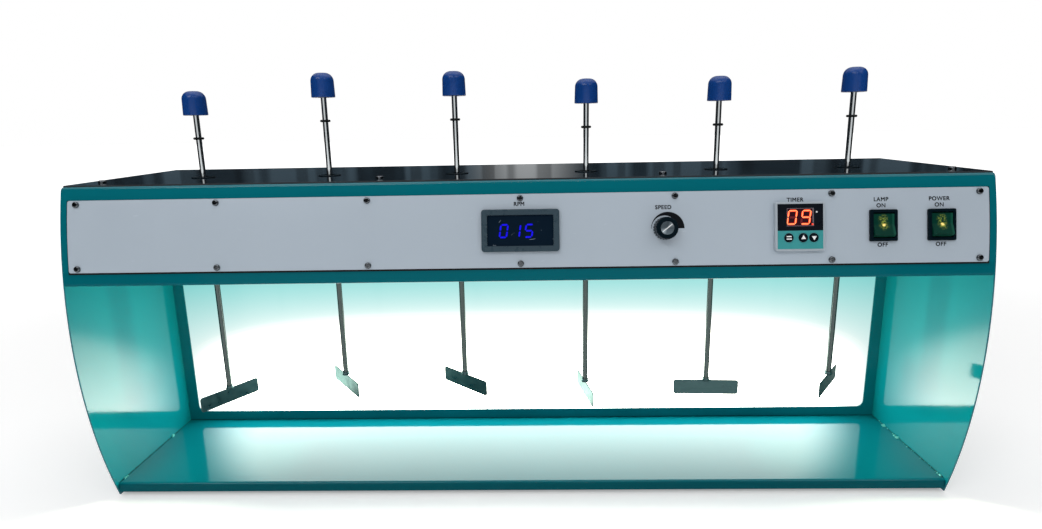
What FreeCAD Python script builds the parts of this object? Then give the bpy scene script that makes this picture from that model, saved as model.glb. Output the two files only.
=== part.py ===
import FreeCAD, Part
import math
import os

from FreeCAD import Matrix, Placement, Vector

# Six-place jar tester. Millimetres, +Z up, +X to the user's right, +Y to the back.
# The pieces are modelled with y = 0 at the front of the base lip and z = 0 on the bench.
# They are moved at the end so that the origin is at the middle of the footprint.

# ---------------------------------------------------------------- case
CASE_WIDTH = 930.0          # over the outer faces of the two side panels
SHEET = 1.5                 # steel sheet of the case panels
BEND = 3.0                  # outer radius of a folded edge
SIDE_CLEARANCE = 2.0        # bench to the bottom edge of a side panel
LIP_CLEARANCE = 6.0         # bench to the bottom of the base lip
LIP_HEIGHT = 10.5           # front lip of the floor pan
BAY_HEIGHT = 238.0          # bay floor to the underside of the head
HEAD_HEIGHT = 99.0          # underside of the head to its top edge
BAY_DEPTH = 160.0           # lip to the window frame
LIGHT_BOX_DEPTH = 51.0      # window frame to the outside of the rear cover
FLANGE = 15.0               # width of the inward flanges
PANEL_CORNER = 5.0          # top front corner of a side panel

BOW_RADIUS = 560.0          # bow of the side panels, the head front and the fascia
BOW_DEPTH = 31.8            # how far the bow stands in front of the lip
BOW_RISE = 14.0             # its foremost point, above the middle of a side panel

# ---------------------------------------------------------------- window and light
WINDOW_SIDE = 13.5          # frame strip left and right of the window
WINDOW_BELOW = 12.5         # frame strip under the window
WINDOW_ABOVE = 18.5         # frame strip over the window
WINDOW_CORNER = 8.0
DIFFUSER_THICKNESS = 3.0
DIFFUSER_OVERLAP = 9.0      # diffuser behind the frame, at each side
TUBE_RADIUS = 13.0
TUBE_LENGTH = 590.0
TUBE_PIN_LENGTH = 7.0
TUBE_PIN_RADIUS = 1.2
TUBE_PIN_SPACING = 12.7
TUBE_HEIGHT = 118.0         # tube axis above the bay floor
TUBE_OFFSET = 21.5          # tube axis in front of the rear cover's inside
HOLDER_WIDTH = 18.0
HOLDER_HEIGHT = 40.0
BALLAST_LENGTH = 110.0
BALLAST_HEIGHT = 28.0
BALLAST_DEPTH = 22.0
BALLAST_RAISE = 30.0        # bay floor to the bottom of the ballast

# ---------------------------------------------------------------- feet and fasteners
FOOT_RADIUS = 12.0
FOOT_RECESS_RADIUS = 5.0
FOOT_RECESS_DEPTH = 7.0
FOOT_TAPER = 1.0            # how much less the radius is on the bench
FOOT_INSET_X = 35.0         # side panel to the middle of a foot
FOOT_INSET_Y = 32.0         # lip, or rear cover, to the middle of a foot
SCREW_RADIUS = 1.5          # fascia screws
SCREW_HEAD_RADIUS = 3.2
SCREW_HEAD_HEIGHT = 2.2
SCREW_LENGTH = 8.0
CASE_SCREW_RADIUS = 2.0     # case screws
CASE_SCREW_HEAD_RADIUS = 4.0
CASE_SCREW_HEAD_HEIGHT = 2.6
CASE_SCREW_LENGTH = 8.0
TOP_SCREW_SETBACK = 33.5    # head's top edge to the screws of the top cover
TOP_SCREW_INSET = 21.0      # side of the case to the outermost of them
THREAD_CLEARANCE = 0.05     # radial, screw in its thread
HOLE_CLEARANCE = 0.25       # radial, screw in a clearance hole
HEAD_ROUNDING = 0.6         # rounding of a screw head, share of its height
RECESS_DEPTH = 0.5          # cross recess, share of the head's height
RECESS_LENGTH = 1.1         # share of the head's radius
RECESS_WIDTH = 0.25         # share of the head's radius

# ---------------------------------------------------------------- cutters
PAST = 1.0                  # how far a cutter runs past what it cuts
CUTTER_REACH = 20.0         # cutter of a panel opening, to either side of the panel
SCREW_HOLE_REACH = 12.0     # cutter of a screw hole, to either side of the panel
TOUCH = 0.01                # edges this near to a place are taken to be at it

# ---------------------------------------------------------------- fascia
FASCIA_THICKNESS = 2.0
FASCIA_SIDE = 8.5           # bare strip of the head at each end of the fascia
FASCIA_ABOVE = 13.0         # bare strip over the fascia
FASCIA_BELOW = 14.5         # bare strip under the fascia
FASCIA_CORNER = 2.0
FASCIA_SCREW_EDGE = 4.0     # fascia's long edge to the screw
FASCIA_SCREW_END = 9.0      # fascia's short edge to the outer screws
FASCIA_SCREW_PITCH = 152.5  # between the inner screws

# ---------------------------------------------------------------- top cover
COVER_SETBACK = 3.5         # head's top front edge to the cover
COVER_DROP = 16.0           # the cover's folded rear edge
GROMMET_WALL = 2.7
GROMMET_FLANGE = 1.0
GROMMET_FLANGE_WIDTH = 3.5
GROMMET_ROUNDING = 0.6
GROMMET_LIP = 1.0           # how far the lip under the cover stands out
GROMMET_LIP_HEIGHT = 1.8

# ---------------------------------------------------------------- stirrers
STIRRERS = 6
STIRRER_TO_SIDE = 104.75    # outermost stirrers to the inside of the side panels
STIRRER_SETBACK = 72.0      # lip to the row of stirrers
ROD_RADIUS = 3.0
KNOB_TOP_TO_RING = 51.0     # knob's top to the middle of the stop ring
KNOB_TOP_TO_BLADE = 348.0   # knob's top to the blade's upper edge
KNOB_RADIUS = 12.7
KNOB_TAPER = 0.7            # how much less the radius is at the top
KNOB_HEIGHT = 26.0
KNOB_DOME = 8.5             # rounding of the knob's top
KNOB_CROWN = 8.0            # rod's end to the knob's top
RING_SECTION = 1.3          # radius of the stop ring's section
BLADE_WIDTH = 76.0
BLADE_HEIGHT = 18.0
BLADE_THICKNESS = 1.2
BLADE_CORNER = 3.0
HUB_WALL = 0.8
HUB_HEIGHT = 3.5
# Rest pose of each stirrer, left to right: height above its stop, turn of its blade.
RAISED = [41.5, 58.0, 57.0, 46.5, 46.5, 53.0]
TURNED = [58.0, -53.0, -43.0, -80.0, -3.0, 53.0]

# ---------------------------------------------------------------- drive
SPINDLE_WALL = 2.95
SPINDLE_SINK = 0.5          # spindle's top below the face of its grommet
SHAFT_CLEARANCE = 0.05      # radial, every shaft in its bore
GAP = 0.3                   # between pieces that move past each other
DECK_BELOW_TOP = 38.0       # head's top edge to the top of the bearing deck
DECK_THICKNESS = 2.5
DECK_WIDTH = 80.0
DECK_END = 50.0             # deck past the outermost stirrers
DECK_FOOT = 8.0
BUSH_WALL = 2.0
BUSH_LENGTH = 12.0          # without its flange
BUSH_FLANGE = 2.0
BUSH_FLANGE_WIDTH = 2.45
PULLEY_RIM = 1.6            # pulley's edge outside the middle of the belt
PULLEY_HEIGHT = 22.0
BELT_RADIUS = 2.0           # radius of the round belt's section
BELT_PITCH_RADIUS = 20.0    # pulley axis to the middle of the belt
BELT_LEVEL_SPACING = 10.0
SNAP_RING_WIDTH = 2.5
SNAP_RING_THICKNESS = 1.0
SPINDLE_END = 1.2           # spindle past the snap ring
GRIP_WALL = 1.45            # grip ring, let into the spindle's bore
GRIP_HEIGHT = 2.0
GRIP_BELOW_TOP = 20.0
MOTOR_RADIUS = 18.5
MOTOR_CLEARANCE = 2.5       # motor's lower end above the head floor
MOTOR_GEARBOX_HEIGHT = 24.0
MOTOR_GEARBOX_STEP = 1.5    # how much wider the gearbox is than the motor
MOTOR_SHAFT_RADIUS = 4.0
MOTOR_SHAFT_DEPTH = 15.0    # shaft inside the gearbox
BRACKET_WIDTH = 88.0
BRACKET_DEPTH = 54.0
BRACKET_TO_DECK = 1.0

# ---------------------------------------------------------------- controls
POWER_FROM_END = 46.5       # fascia's right end to the power switch
LAMP_TO_POWER = 56.0
TIMER_TO_LAMP = 81.5
METER_TO_SPEED = 142.0
CONTROL_RAISE = 0.5         # row of controls above the middle of the fascia
PANEL_CLEARANCE = 0.3       # cut-out round a body that passes through the panel

METER_WIDTH = 77.0
METER_HEIGHT = 42.0
METER_BEZEL = 4.0
METER_CORNER = 3.0
METER_EDGE = 1.0            # rounding of the bezel's front edges
METER_RIM = 3.0             # bezel outside the body, on every side
METER_BODY_DEPTH = 28.0
METER_FRAME = 5.75          # bezel outside the window, on every side
METER_WINDOW_DEPTH = 3.0
METER_LENS = 1.2
METER_LENS_CORNER = 1.0

SPEED_KNOB_RADIUS = 11.3
SPEED_KNOB_HEIGHT = 13.5
SPEED_KNOB_TAPER = 0.5      # how much less the radius is at the top
SPEED_KNOB_EDGE = 1.0
SPEED_KNOB_CROWN = 2.6      # shaft's end to the knob's top
SPEED_KNOB_GAP = 0.8        # knob's underside above the fascia
SPEED_CAP_RADIUS = 6.4
SPEED_CAP_HEIGHT = 0.6
SPEED_FLUTES = 24
SPEED_FLUTE_RADIUS = 0.8
POT_RADIUS = 12.0
POT_DEPTH = 12.0
POT_BUSH_RADIUS = 4.5
POT_BUSH_HEIGHT = 5.0
POT_NUT_RADIUS = 7.0        # across the corners
POT_NUT_HEIGHT = 2.2
POT_SHAFT_RADIUS = 3.0
KNOB_ROOM = 0.8             # round the nut, inside the knob

TIMER_SIZE = 48.0
TIMER_BEZEL = 4.5
TIMER_CORNER = 2.0
TIMER_EDGE = 0.8
TIMER_RIM = 1.75            # bezel outside the body, on every side
TIMER_BODY_DEPTH = 44.0
TIMER_WINDOW_WIDTH = 26.0
TIMER_WINDOW_HEIGHT = 17.5
TIMER_WINDOW_RAISE = 9.0    # window's middle above the timer's middle
TIMER_WINDOW_DEPTH = 1.0
TIMER_WINDOW_CORNER = 0.8
BUTTON_RADIUS = 4.3
BUTTON_DROP = 11.0          # row of buttons below the timer's middle
BUTTON_X = {"set": -11.2, "up": 2.6, "down": 12.9}
BUTTON_PROUD = 1.2
BUTTON_TRAVEL = 0.8
BUTTON_WELL = 4.0
BUTTON_EDGE = 0.4

SWITCH_BEZEL = 3.0
SWITCH_CORNER = 1.5
SWITCH_EDGE = 0.8
SWITCH_SIDE_WALL = 0.9      # body wall beside the rocker
SWITCH_END_WALL = 1.5       # body wall at the rocker's ends
SWITCH_SIDE_RIM = 2.05      # bezel outside the body, left and right
SWITCH_END_RIM = 1.5        # bezel outside the body, above and below
SWITCH_BODY_DEPTH = 20.0
ROCKER_WIDTH = 20.0
ROCKER_RADIUS = 12.2        # pivot to the ends of the rocker
ROCKER_SINK = 3.0           # pivot below the face of the fascia
ROCKER_THROW = 9.0          # degrees each way from the middle
ROCKER_WAIST = 2.4          # middle of the rocker above the face of the fascia
ROCKER_PIN_RADIUS = 1.2
ROCKER_PIN_LENGTH = 0.6
ROCKER_SKIRT = 5.0          # rocker below its pivot

BOARD_LENGTH = 120.0
BOARD_WIDTH = 52.0
BOARD_THICKNESS = 1.6
BOARD_STANDOFF = 6.0
BOARD_STANDOFF_RADIUS = 3.0
BOARD_X = 200.0
BOARD_FROM_REAR = 10.0      # board to the inside of the rear cover
TRANSFORMER = (36.0, 32.0, 28.0)
HEAT_SINK = (34.0, 12.0, 25.0)
CAPACITOR_RADIUS = 6.5
CAPACITOR_HEIGHT = 20.0
CAPACITOR_GAP = 2.0
TERMINALS = (30.0, 8.0, 10.0)
PART_MARGIN = 5.0           # board's edge to the parts on it

INLET_FROM_SIDE = 85.0      # side of the case to the inlet's middle
INLET_BELOW_TOP = 50.0
INLET_FLANGE = 2.5
INLET_WALL = 1.3            # body wall round the socket
INLET_RIM = 2.0             # flange outside the body
INLET_REAR_WALL = 5.5       # body behind the socket
INLET_SOCKET_WIDTH = 24.4
INLET_SOCKET_HEIGHT = 16.8
INLET_SOCKET_DEPTH = 17.0
INLET_PIN = (2.0, 4.0, 14.0)
INLET_PIN_ROOT = 1.0        # pin let into the socket's floor
INLET_PIN_SPACING = 14.0
INLET_PIN_SHIFT = 2.0       # line and neutral below the middle, earth above it
INLET_CORNER = 2.0

# ---------------------------------------------------------------- heights and depths
HALF_WIDTH = CASE_WIDTH / 2
INNER = HALF_WIDTH - SHEET
FLOOR_TOP = LIP_CLEARANCE + LIP_HEIGHT
HEAD_BOTTOM = FLOOR_TOP + BAY_HEIGHT
HEAD_TOP = HEAD_BOTTOM + HEAD_HEIGHT
COVER_TOP = HEAD_TOP + SHEET
BACK = BAY_DEPTH + LIGHT_BOX_DEPTH
REAR_INSIDE = BACK - SHEET
HEAD_FLOOR_BOTTOM = HEAD_BOTTOM + SHEET
HEAD_FLOOR_TOP = HEAD_FLOOR_BOTTOM + SHEET
BOW_Z = (SIDE_CLEARANCE + HEAD_TOP) / 2 + BOW_RISE
BOW_Y = BOW_RADIUS - BOW_DEPTH
FASCIA_BOTTOM = HEAD_BOTTOM + FASCIA_BELOW
FASCIA_TOP = HEAD_TOP - FASCIA_ABOVE
FASCIA_HALF = HALF_WIDTH - FASCIA_SIDE
CONTROL_Z = (FASCIA_BOTTOM + FASCIA_TOP) / 2 + CONTROL_RAISE
POWER_X = FASCIA_HALF - POWER_FROM_END
LAMP_X = POWER_X - LAMP_TO_POWER
TIMER_X = LAMP_X - TIMER_TO_LAMP
METER_X = 0.0
SPEED_X = METER_X + METER_TO_SPEED
METER_BODY_WIDTH = METER_WIDTH - 2 * METER_RIM
METER_BODY_HEIGHT = METER_HEIGHT - 2 * METER_RIM
METER_WINDOW_WIDTH = METER_WIDTH - 2 * METER_FRAME
METER_WINDOW_HEIGHT = METER_HEIGHT - 2 * METER_FRAME
TIMER_BODY_SIZE = TIMER_SIZE - 2 * TIMER_RIM
INLET_X = HALF_WIDTH - INLET_FROM_SIDE
INLET_Z = HEAD_TOP - INLET_BELOW_TOP
TUBE_Y = REAR_INSIDE - TUBE_OFFSET
TUBE_Z = FLOOR_TOP + TUBE_HEIGHT

STIRRER_Y = STIRRER_SETBACK
STIRRER_PITCH = 2 * (INNER - STIRRER_TO_SIDE) / (STIRRERS - 1)
STIRRER_X = [(i - (STIRRERS - 1) / 2) * STIRRER_PITCH for i in range(STIRRERS)]
SPINDLE_BORE = ROD_RADIUS + SHAFT_CLEARANCE
SPINDLE_RADIUS = SPINDLE_BORE + SPINDLE_WALL
GROMMET_NECK_RADIUS = SPINDLE_RADIUS + GAP + GROMMET_WALL
SPINDLE_TOP = COVER_TOP + GROMMET_FLANGE - SPINDLE_SINK
DECK_TOP = HEAD_TOP - DECK_BELOW_TOP
DECK_BOTTOM = DECK_TOP - DECK_THICKNESS
BUSH_BORE = SPINDLE_RADIUS + SHAFT_CLEARANCE
BUSH_RADIUS = BUSH_BORE + BUSH_WALL
LOWER_FLANGE_BOTTOM = HEAD_FLOOR_BOTTOM - BUSH_FLANGE
SNAP_RING_TOP = LOWER_FLANGE_BOTTOM - GAP
SPINDLE_BOTTOM = SNAP_RING_TOP - SNAP_RING_THICKNESS - SPINDLE_END
PULLEY_BOTTOM = DECK_TOP + BUSH_FLANGE + GAP
PULLEY_MIDDLE = PULLEY_BOTTOM + PULLEY_HEIGHT / 2
BELT_LEVELS = (PULLEY_MIDDLE - BELT_LEVEL_SPACING / 2, PULLEY_MIDDLE + BELT_LEVEL_SPACING / 2)
DECK_HALF = STIRRER_X[-1] + DECK_END
DECK_FRONT = STIRRER_Y - DECK_WIDTH / 2
DECK_REAR = STIRRER_Y + DECK_WIDTH / 2
MOTOR_X = STIRRER_X[0]
MOTOR_Y = DECK_REAR + DECK_FOOT + BRACKET_TO_DECK + BRACKET_DEPTH / 2
PULLEY_RADIUS = BELT_PITCH_RADIUS + PULLEY_RIM
KNOB_TOP = [SPINDLE_TOP + RING_SECTION + KNOB_TOP_TO_RING + raised for raised in RAISED]


# ---------------------------------------------------------------- shape helpers
def box(x0, x1, y0, y1, z0, z1):
    return Part.makeBox(x1 - x0, y1 - y0, z1 - z0, Vector(x0, y0, z0))


def post(radius, x, y, z0, z1):
    """Upright cylinder from z0 to z1."""
    return Part.makeCylinder(radius, z1 - z0, Vector(x, y, z0))


def collar(outer, inner, x, y, z0, z1):
    """Upright tube from z0 to z1."""
    return post(outer, x, y, z0, z1).cut(post(inner, x, y, z0 - PAST, z1 + PAST))


def edges_at_height(shape, z):
    return [e for e in shape.Edges if abs(e.CenterOfMass.z - z) < TOUCH]


def edges_along_x(shape, y, z):
    """Edges that run across the case at depth y and height z."""
    return [e for e in edges_at_height(shape, z) if abs(e.CenterOfMass.y - y) < TOUCH]


def slab(width, height, z0, z1, corner=0.0, x=0.0, y=0.0):
    """Box centred on x, y with its four upright edges rounded."""
    shape = box(x - width / 2, x + width / 2, y - height / 2, y + height / 2, z0, z1)
    if corner:
        upright = [e for e in shape.Edges if abs(e.tangentAt(e.FirstParameter).z) > 0.99]
        shape = shape.makeFillet(corner, upright)
    return shape


def bow_y(z, outset=0.0):
    """Depth of the bowed front at height z; outset counts outwards from the head's face."""
    return BOW_Y - math.sqrt((BOW_RADIUS + outset) ** 2 - (z - BOW_Z) ** 2)


def bowed_block(half, z0, z1, back, outset=0.0, rounding=0.0):
    """Block across the case whose front face follows the bow."""
    front = [Vector(-half, bow_y(z, outset), z) for z in (z0, (z0 + z1) / 2, z1)]
    rear_top = Vector(-half, back, z1)
    rear_bottom = Vector(-half, back, z0)
    outline = [
        Part.Arc(*front).toShape(),
        Part.makeLine(front[2], rear_top),
        Part.makeLine(rear_top, rear_bottom),
        Part.makeLine(rear_bottom, front[0]),
    ]
    shape = Part.Face(Part.Wire(outline)).extrude(Vector(2 * half, 0, 0))
    if rounding:
        folds = edges_along_x(shape, front[0].y, z0) + edges_along_x(shape, front[2].y, z1)
        shape = shape.makeFillet(rounding, folds)
    return shape


def placed(shape, at, across, up):
    """Shape moved so that its own X lies along across, its Y along up, its Z outwards."""
    out = across.cross(up)
    matrix = Matrix(across.x, up.x, out.x, at.x,
                    across.y, up.y, out.y, at.y,
                    across.z, up.z, out.z, at.z,
                    0, 0, 0, 1)
    moved = shape.copy()
    moved.Placement = Placement(matrix).multiply(moved.Placement)
    return moved


def on_fascia(shape, x, z=CONTROL_Z):
    """Shape placed on the fascia: its Z = 0 plane touches the bowed face at x, z."""
    radius = BOW_RADIUS + FASCIA_THICKNESS
    tilt = math.asin((z - BOW_Z) / radius)
    at = Vector(x, BOW_Y - radius * math.cos(tilt), BOW_Z + radius * math.sin(tilt))
    return placed(shape, at, Vector(1, 0, 0), Vector(0, math.sin(tilt), math.cos(tilt)))


def on_top(shape, x, y):
    return placed(shape, Vector(x, y, COVER_TOP), Vector(1, 0, 0), Vector(0, 1, 0))


def on_rear(shape, x, z, y):
    return placed(shape, Vector(x, y, z), Vector(-1, 0, 0), Vector(0, 0, 1))


def pan_screw(radius, head_radius, head_height, length):
    """Pan-head screw with a cross recess; its head's seat is at z = 0."""
    head = Part.makeCylinder(head_radius, head_height)
    head = head.makeFillet(head_height * HEAD_ROUNDING, edges_at_height(head, head_height))
    slot_length = head_radius * RECESS_LENGTH
    slot_width = head_radius * RECESS_WIDTH
    slot_bottom = head_height * (1 - RECESS_DEPTH)
    for width, height in ((slot_length, slot_width), (slot_width, slot_length)):
        head = head.cut(slab(width, height, slot_bottom, head_height + PAST))
    shank = Part.makeCylinder(radius, length, Vector(0, 0, -length))
    return head.fuse(shank).removeSplitter()


def screw_hole(radius):
    """Cutter through a panel whose face is at z = 0."""
    return Part.makeCylinder(radius, 2 * SCREW_HOLE_REACH, Vector(0, 0, -SCREW_HOLE_REACH))


def drilled(shape, hole, places, place):
    for at in places:
        shape = shape.cut(place(hole, *at))
    return shape


# ---------------------------------------------------------------- fastener positions
def fascia_screw_places():
    inner = [i * FASCIA_SCREW_PITCH for i in range(-2, 3)]
    end = FASCIA_HALF - FASCIA_SCREW_END
    columns = [-end] + inner + [end]
    rows = (FASCIA_TOP - FASCIA_SCREW_EDGE, FASCIA_BOTTOM + FASCIA_SCREW_EDGE)
    return [(x, z) for z in rows for x in columns]


def cover_screw_columns():
    end = HALF_WIDTH - TOP_SCREW_INSET
    return [end * share for share in (-1, -1 / 3, 1 / 3, 1)]


def top_screw_places():
    y = bow_y(HEAD_TOP) + TOP_SCREW_SETBACK
    return [(x, y) for x in cover_screw_columns()]


def cover_rear_screw_places():
    z = COVER_TOP - COVER_DROP / 2
    return [(x, z, BACK + SHEET) for x in cover_screw_columns()]


def rear_screw_places():
    x = INNER - FLANGE / 2
    low = FLOOR_TOP + FLANGE
    high = HEAD_TOP - COVER_DROP - FLANGE
    return [(side * x, z, BACK) for side in (-1, 1) for z in (low, (low + high) / 2, high)]


# ---------------------------------------------------------------- case pieces
def base_pan():
    pan = box(-INNER, INNER, 0, REAR_INSIDE, LIP_CLEARANCE, FLOOR_TOP)
    pan = pan.makeFillet(BEND, edges_along_x(pan, 0, FLOOR_TOP))
    hollow = box(-INNER - PAST, INNER + PAST, SHEET, REAR_INSIDE - SHEET,
                 LIP_CLEARANCE - PAST, FLOOR_TOP - SHEET)
    hollow = hollow.makeFillet(BEND - SHEET, edges_along_x(hollow, SHEET, FLOOR_TOP - SHEET))
    return pan.cut(hollow)


def side_panel(side):
    """Bowed side panel with its rear flange; side is -1 at the left, 1 at the right."""
    sheet = bowed_block(SHEET / 2, SIDE_CLEARANCE, HEAD_TOP, BACK)
    sheet = sheet.makeFillet(PANEL_CORNER, edges_along_x(sheet, bow_y(HEAD_TOP), HEAD_TOP))
    sheet = sheet.makeFillet(BEND, edges_along_x(sheet, BACK, HEAD_TOP))
    sheet.translate(Vector(side * (HALF_WIDTH - SHEET / 2), 0, 0))
    edges = sorted((side * INNER, side * (INNER - FLANGE)))
    flange = box(edges[0], edges[1], REAR_INSIDE - SHEET, REAR_INSIDE, FLOOR_TOP, HEAD_TOP)
    hole = screw_hole(CASE_SCREW_RADIUS + THREAD_CLEARANCE)
    flange = drilled(flange, hole, rear_screw_places(), on_rear)
    return sheet.fuse(flange).removeSplitter()


def window_frame():
    rear = BAY_DEPTH + SHEET
    panel = box(-INNER, INNER, BAY_DEPTH, rear, FLOOR_TOP, HEAD_FLOOR_BOTTOM)
    shelf = box(-INNER, INNER, rear, rear + FLANGE, HEAD_BOTTOM, HEAD_FLOOR_BOTTOM)
    width = 2 * (INNER - WINDOW_SIDE)
    low = FLOOR_TOP + WINDOW_BELOW
    high = HEAD_BOTTOM - WINDOW_ABOVE
    window = slab(width, high - low, -CUTTER_REACH, CUTTER_REACH, WINDOW_CORNER)
    window = on_rear(window, 0, (low + high) / 2, BAY_DEPTH)
    return panel.fuse(shelf).cut(window).removeSplitter()


def light_diffuser():
    front = BAY_DEPTH + SHEET
    half = INNER - WINDOW_SIDE + DIFFUSER_OVERLAP
    return box(-half, half, front, front + DIFFUSER_THICKNESS, FLOOR_TOP, HEAD_BOTTOM - GAP)


def lamp_tube():
    axis = Vector(1, 0, 0)
    start = Vector(-TUBE_LENGTH / 2, TUBE_Y, TUBE_Z)
    tube = Part.makeCylinder(TUBE_RADIUS, TUBE_LENGTH, start, axis)
    for z in (TUBE_Z - TUBE_PIN_SPACING / 2, TUBE_Z + TUBE_PIN_SPACING / 2):
        pin_start = Vector(-TUBE_LENGTH / 2 - TUBE_PIN_LENGTH, TUBE_Y, z)
        length = TUBE_LENGTH + 2 * TUBE_PIN_LENGTH
        tube = tube.fuse(Part.makeCylinder(TUBE_PIN_RADIUS, length, pin_start, axis))
    return tube.removeSplitter()


def lamp_holders():
    holders = []
    for side in (-1, 1):
        inner = TUBE_LENGTH / 2 + GAP
        ends = sorted((side * inner, side * (inner + HOLDER_WIDTH)))
        block = box(ends[0], ends[1], TUBE_Y - TUBE_RADIUS, REAR_INSIDE,
                    TUBE_Z - HOLDER_HEIGHT / 2, TUBE_Z + HOLDER_HEIGHT / 2)
        slot_end = side * (TUBE_LENGTH / 2 + TUBE_PIN_LENGTH + GAP)
        slot = sorted((side * inner, slot_end))
        half = TUBE_PIN_SPACING / 2 + TUBE_PIN_RADIUS + SHAFT_CLEARANCE
        pocket = box(slot[0], slot[1], TUBE_Y - TUBE_PIN_RADIUS - SHAFT_CLEARANCE,
                     TUBE_Y + TUBE_PIN_RADIUS + SHAFT_CLEARANCE, TUBE_Z - half, TUBE_Z + half)
        holders.append(block.cut(pocket))
    return Part.makeCompound(holders)


def lamp_ballast():
    right = INNER - FLANGE - GAP
    low = FLOOR_TOP + BALLAST_RAISE
    return box(right - BALLAST_LENGTH, right, REAR_INSIDE - BALLAST_DEPTH, REAR_INSIDE,
               low, low + BALLAST_HEIGHT)


def rear_cover():
    sheet = box(-INNER, INNER, REAR_INSIDE, BACK, LIP_CLEARANCE, HEAD_TOP - BEND)
    width = INLET_SOCKET_WIDTH + 2 * (INLET_WALL + PANEL_CLEARANCE)
    height = INLET_SOCKET_HEIGHT + 2 * (INLET_WALL + PANEL_CLEARANCE)
    opening = slab(width, height, -CUTTER_REACH, CUTTER_REACH)
    sheet = sheet.cut(on_rear(opening, INLET_X, INLET_Z, BACK))
    clear = screw_hole(CASE_SCREW_RADIUS + HOLE_CLEARANCE)
    thread = screw_hole(CASE_SCREW_RADIUS + THREAD_CLEARANCE)
    sheet = drilled(sheet, clear, rear_screw_places(), on_rear)
    return drilled(sheet, thread, cover_rear_screw_places(), on_rear)


def switch_body_size():
    width = ROCKER_WIDTH + 2 * (GAP + SWITCH_SIDE_WALL)
    height = 2 * (ROCKER_RADIUS + GAP + SWITCH_END_WALL)
    return width, height


def panel_cut_outs():
    """Bodies that pass through the fascia and the head front, with their clearance."""
    room = 2 * PANEL_CLEARANCE
    reach = CUTTER_REACH
    meter = slab(METER_BODY_WIDTH + room, METER_BODY_HEIGHT + room, -reach, reach)
    timer = slab(TIMER_BODY_SIZE + room, TIMER_BODY_SIZE + room, -reach, reach)
    body_width, body_height = switch_body_size()
    switch = slab(body_width + room, body_height + room, -reach, reach)
    pot = screw_hole(POT_BUSH_RADIUS + SHAFT_CLEARANCE)
    return [on_fascia(meter, METER_X), on_fascia(pot, SPEED_X), on_fascia(timer, TIMER_X),
            on_fascia(switch, LAMP_X), on_fascia(switch, POWER_X)]


def head_front():
    """Folded front of the head: bowed face, top flange and bottom flange."""
    top_flange_back = bow_y(HEAD_TOP) + TOP_SCREW_SETBACK + FLANGE
    outer = bowed_block(INNER, HEAD_BOTTOM, HEAD_TOP, top_flange_back, 0.0, BEND)
    hollow = bowed_block(INNER + PAST, HEAD_BOTTOM + SHEET, HEAD_TOP - SHEET,
                         top_flange_back + PAST, -SHEET, BEND - SHEET)
    bottom_flange_back = bow_y(HEAD_BOTTOM) + FLANGE
    behind = box(-INNER - PAST, INNER + PAST, bottom_flange_back, top_flange_back + PAST,
                 HEAD_BOTTOM - PAST, HEAD_FLOOR_BOTTOM + PAST)
    shape = outer.cut(hollow).cut(behind)
    shape = shape.cut(Part.makeCompound(panel_cut_outs()))
    fascia_hole = screw_hole(SCREW_RADIUS + THREAD_CLEARANCE)
    shape = drilled(shape, fascia_hole, fascia_screw_places(), on_fascia)
    cover_hole = screw_hole(CASE_SCREW_RADIUS + THREAD_CLEARANCE)
    return drilled(shape, cover_hole, top_screw_places(), on_top)


def fascia_plate():
    back = bow_y(FASCIA_TOP) + FLANGE
    plate = bowed_block(FASCIA_HALF + PAST, FASCIA_BOTTOM - PAST, FASCIA_TOP + PAST, back,
                        FASCIA_THICKNESS)
    plate = plate.cut(bowed_block(FASCIA_HALF + 2 * PAST, FASCIA_BOTTOM - 2 * PAST,
                                  FASCIA_TOP + 2 * PAST, back + PAST))
    outline = slab(2 * FASCIA_HALF, FASCIA_TOP - FASCIA_BOTTOM, -BAY_DEPTH, BAY_DEPTH,
                   FASCIA_CORNER)
    middle = Vector(0, 0, (FASCIA_BOTTOM + FASCIA_TOP) / 2)
    outline = placed(outline, middle, Vector(1, 0, 0), Vector(0, 0, 1))
    plate = plate.common(outline).cut(Part.makeCompound(panel_cut_outs()))
    hole = screw_hole(SCREW_RADIUS + HOLE_CLEARANCE)
    return drilled(plate, hole, fascia_screw_places(), on_fascia)


def fascia_screws():
    screw = pan_screw(SCREW_RADIUS, SCREW_HEAD_RADIUS, SCREW_HEAD_HEIGHT, SCREW_LENGTH)
    return Part.makeCompound([on_fascia(screw, x, z) for x, z in fascia_screw_places()])


def top_cover():
    front = bow_y(HEAD_TOP) + COVER_SETBACK
    low = COVER_TOP - COVER_DROP
    block = box(-HALF_WIDTH, HALF_WIDTH, front, BACK + SHEET, low, COVER_TOP)
    block = block.makeFillet(BEND, edges_along_x(block, BACK + SHEET, COVER_TOP))
    hollow = box(-HALF_WIDTH - PAST, HALF_WIDTH + PAST, front - PAST, BACK, low - PAST, HEAD_TOP)
    hollow = hollow.makeFillet(BEND - SHEET, edges_along_x(hollow, BACK, HEAD_TOP))
    cover = block.cut(hollow)
    hole = screw_hole(CASE_SCREW_RADIUS + HOLE_CLEARANCE)
    cover = drilled(cover, hole, top_screw_places(), on_top)
    cover = drilled(cover, hole, cover_rear_screw_places(), on_rear)
    for x in STIRRER_X:
        cover = cover.cut(post(GROMMET_NECK_RADIUS, x, STIRRER_Y,
                               HEAD_TOP - PAST, COVER_TOP + PAST))
    return cover


def case_screws():
    screw = pan_screw(CASE_SCREW_RADIUS, CASE_SCREW_HEAD_RADIUS, CASE_SCREW_HEAD_HEIGHT,
                      CASE_SCREW_LENGTH)
    screws = [on_top(screw, x, y) for x, y in top_screw_places()]
    screws += [on_rear(screw, x, z, y) for x, z, y in cover_rear_screw_places()]
    screws += [on_rear(screw, x, z, y) for x, z, y in rear_screw_places()]
    return Part.makeCompound(screws)


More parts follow.
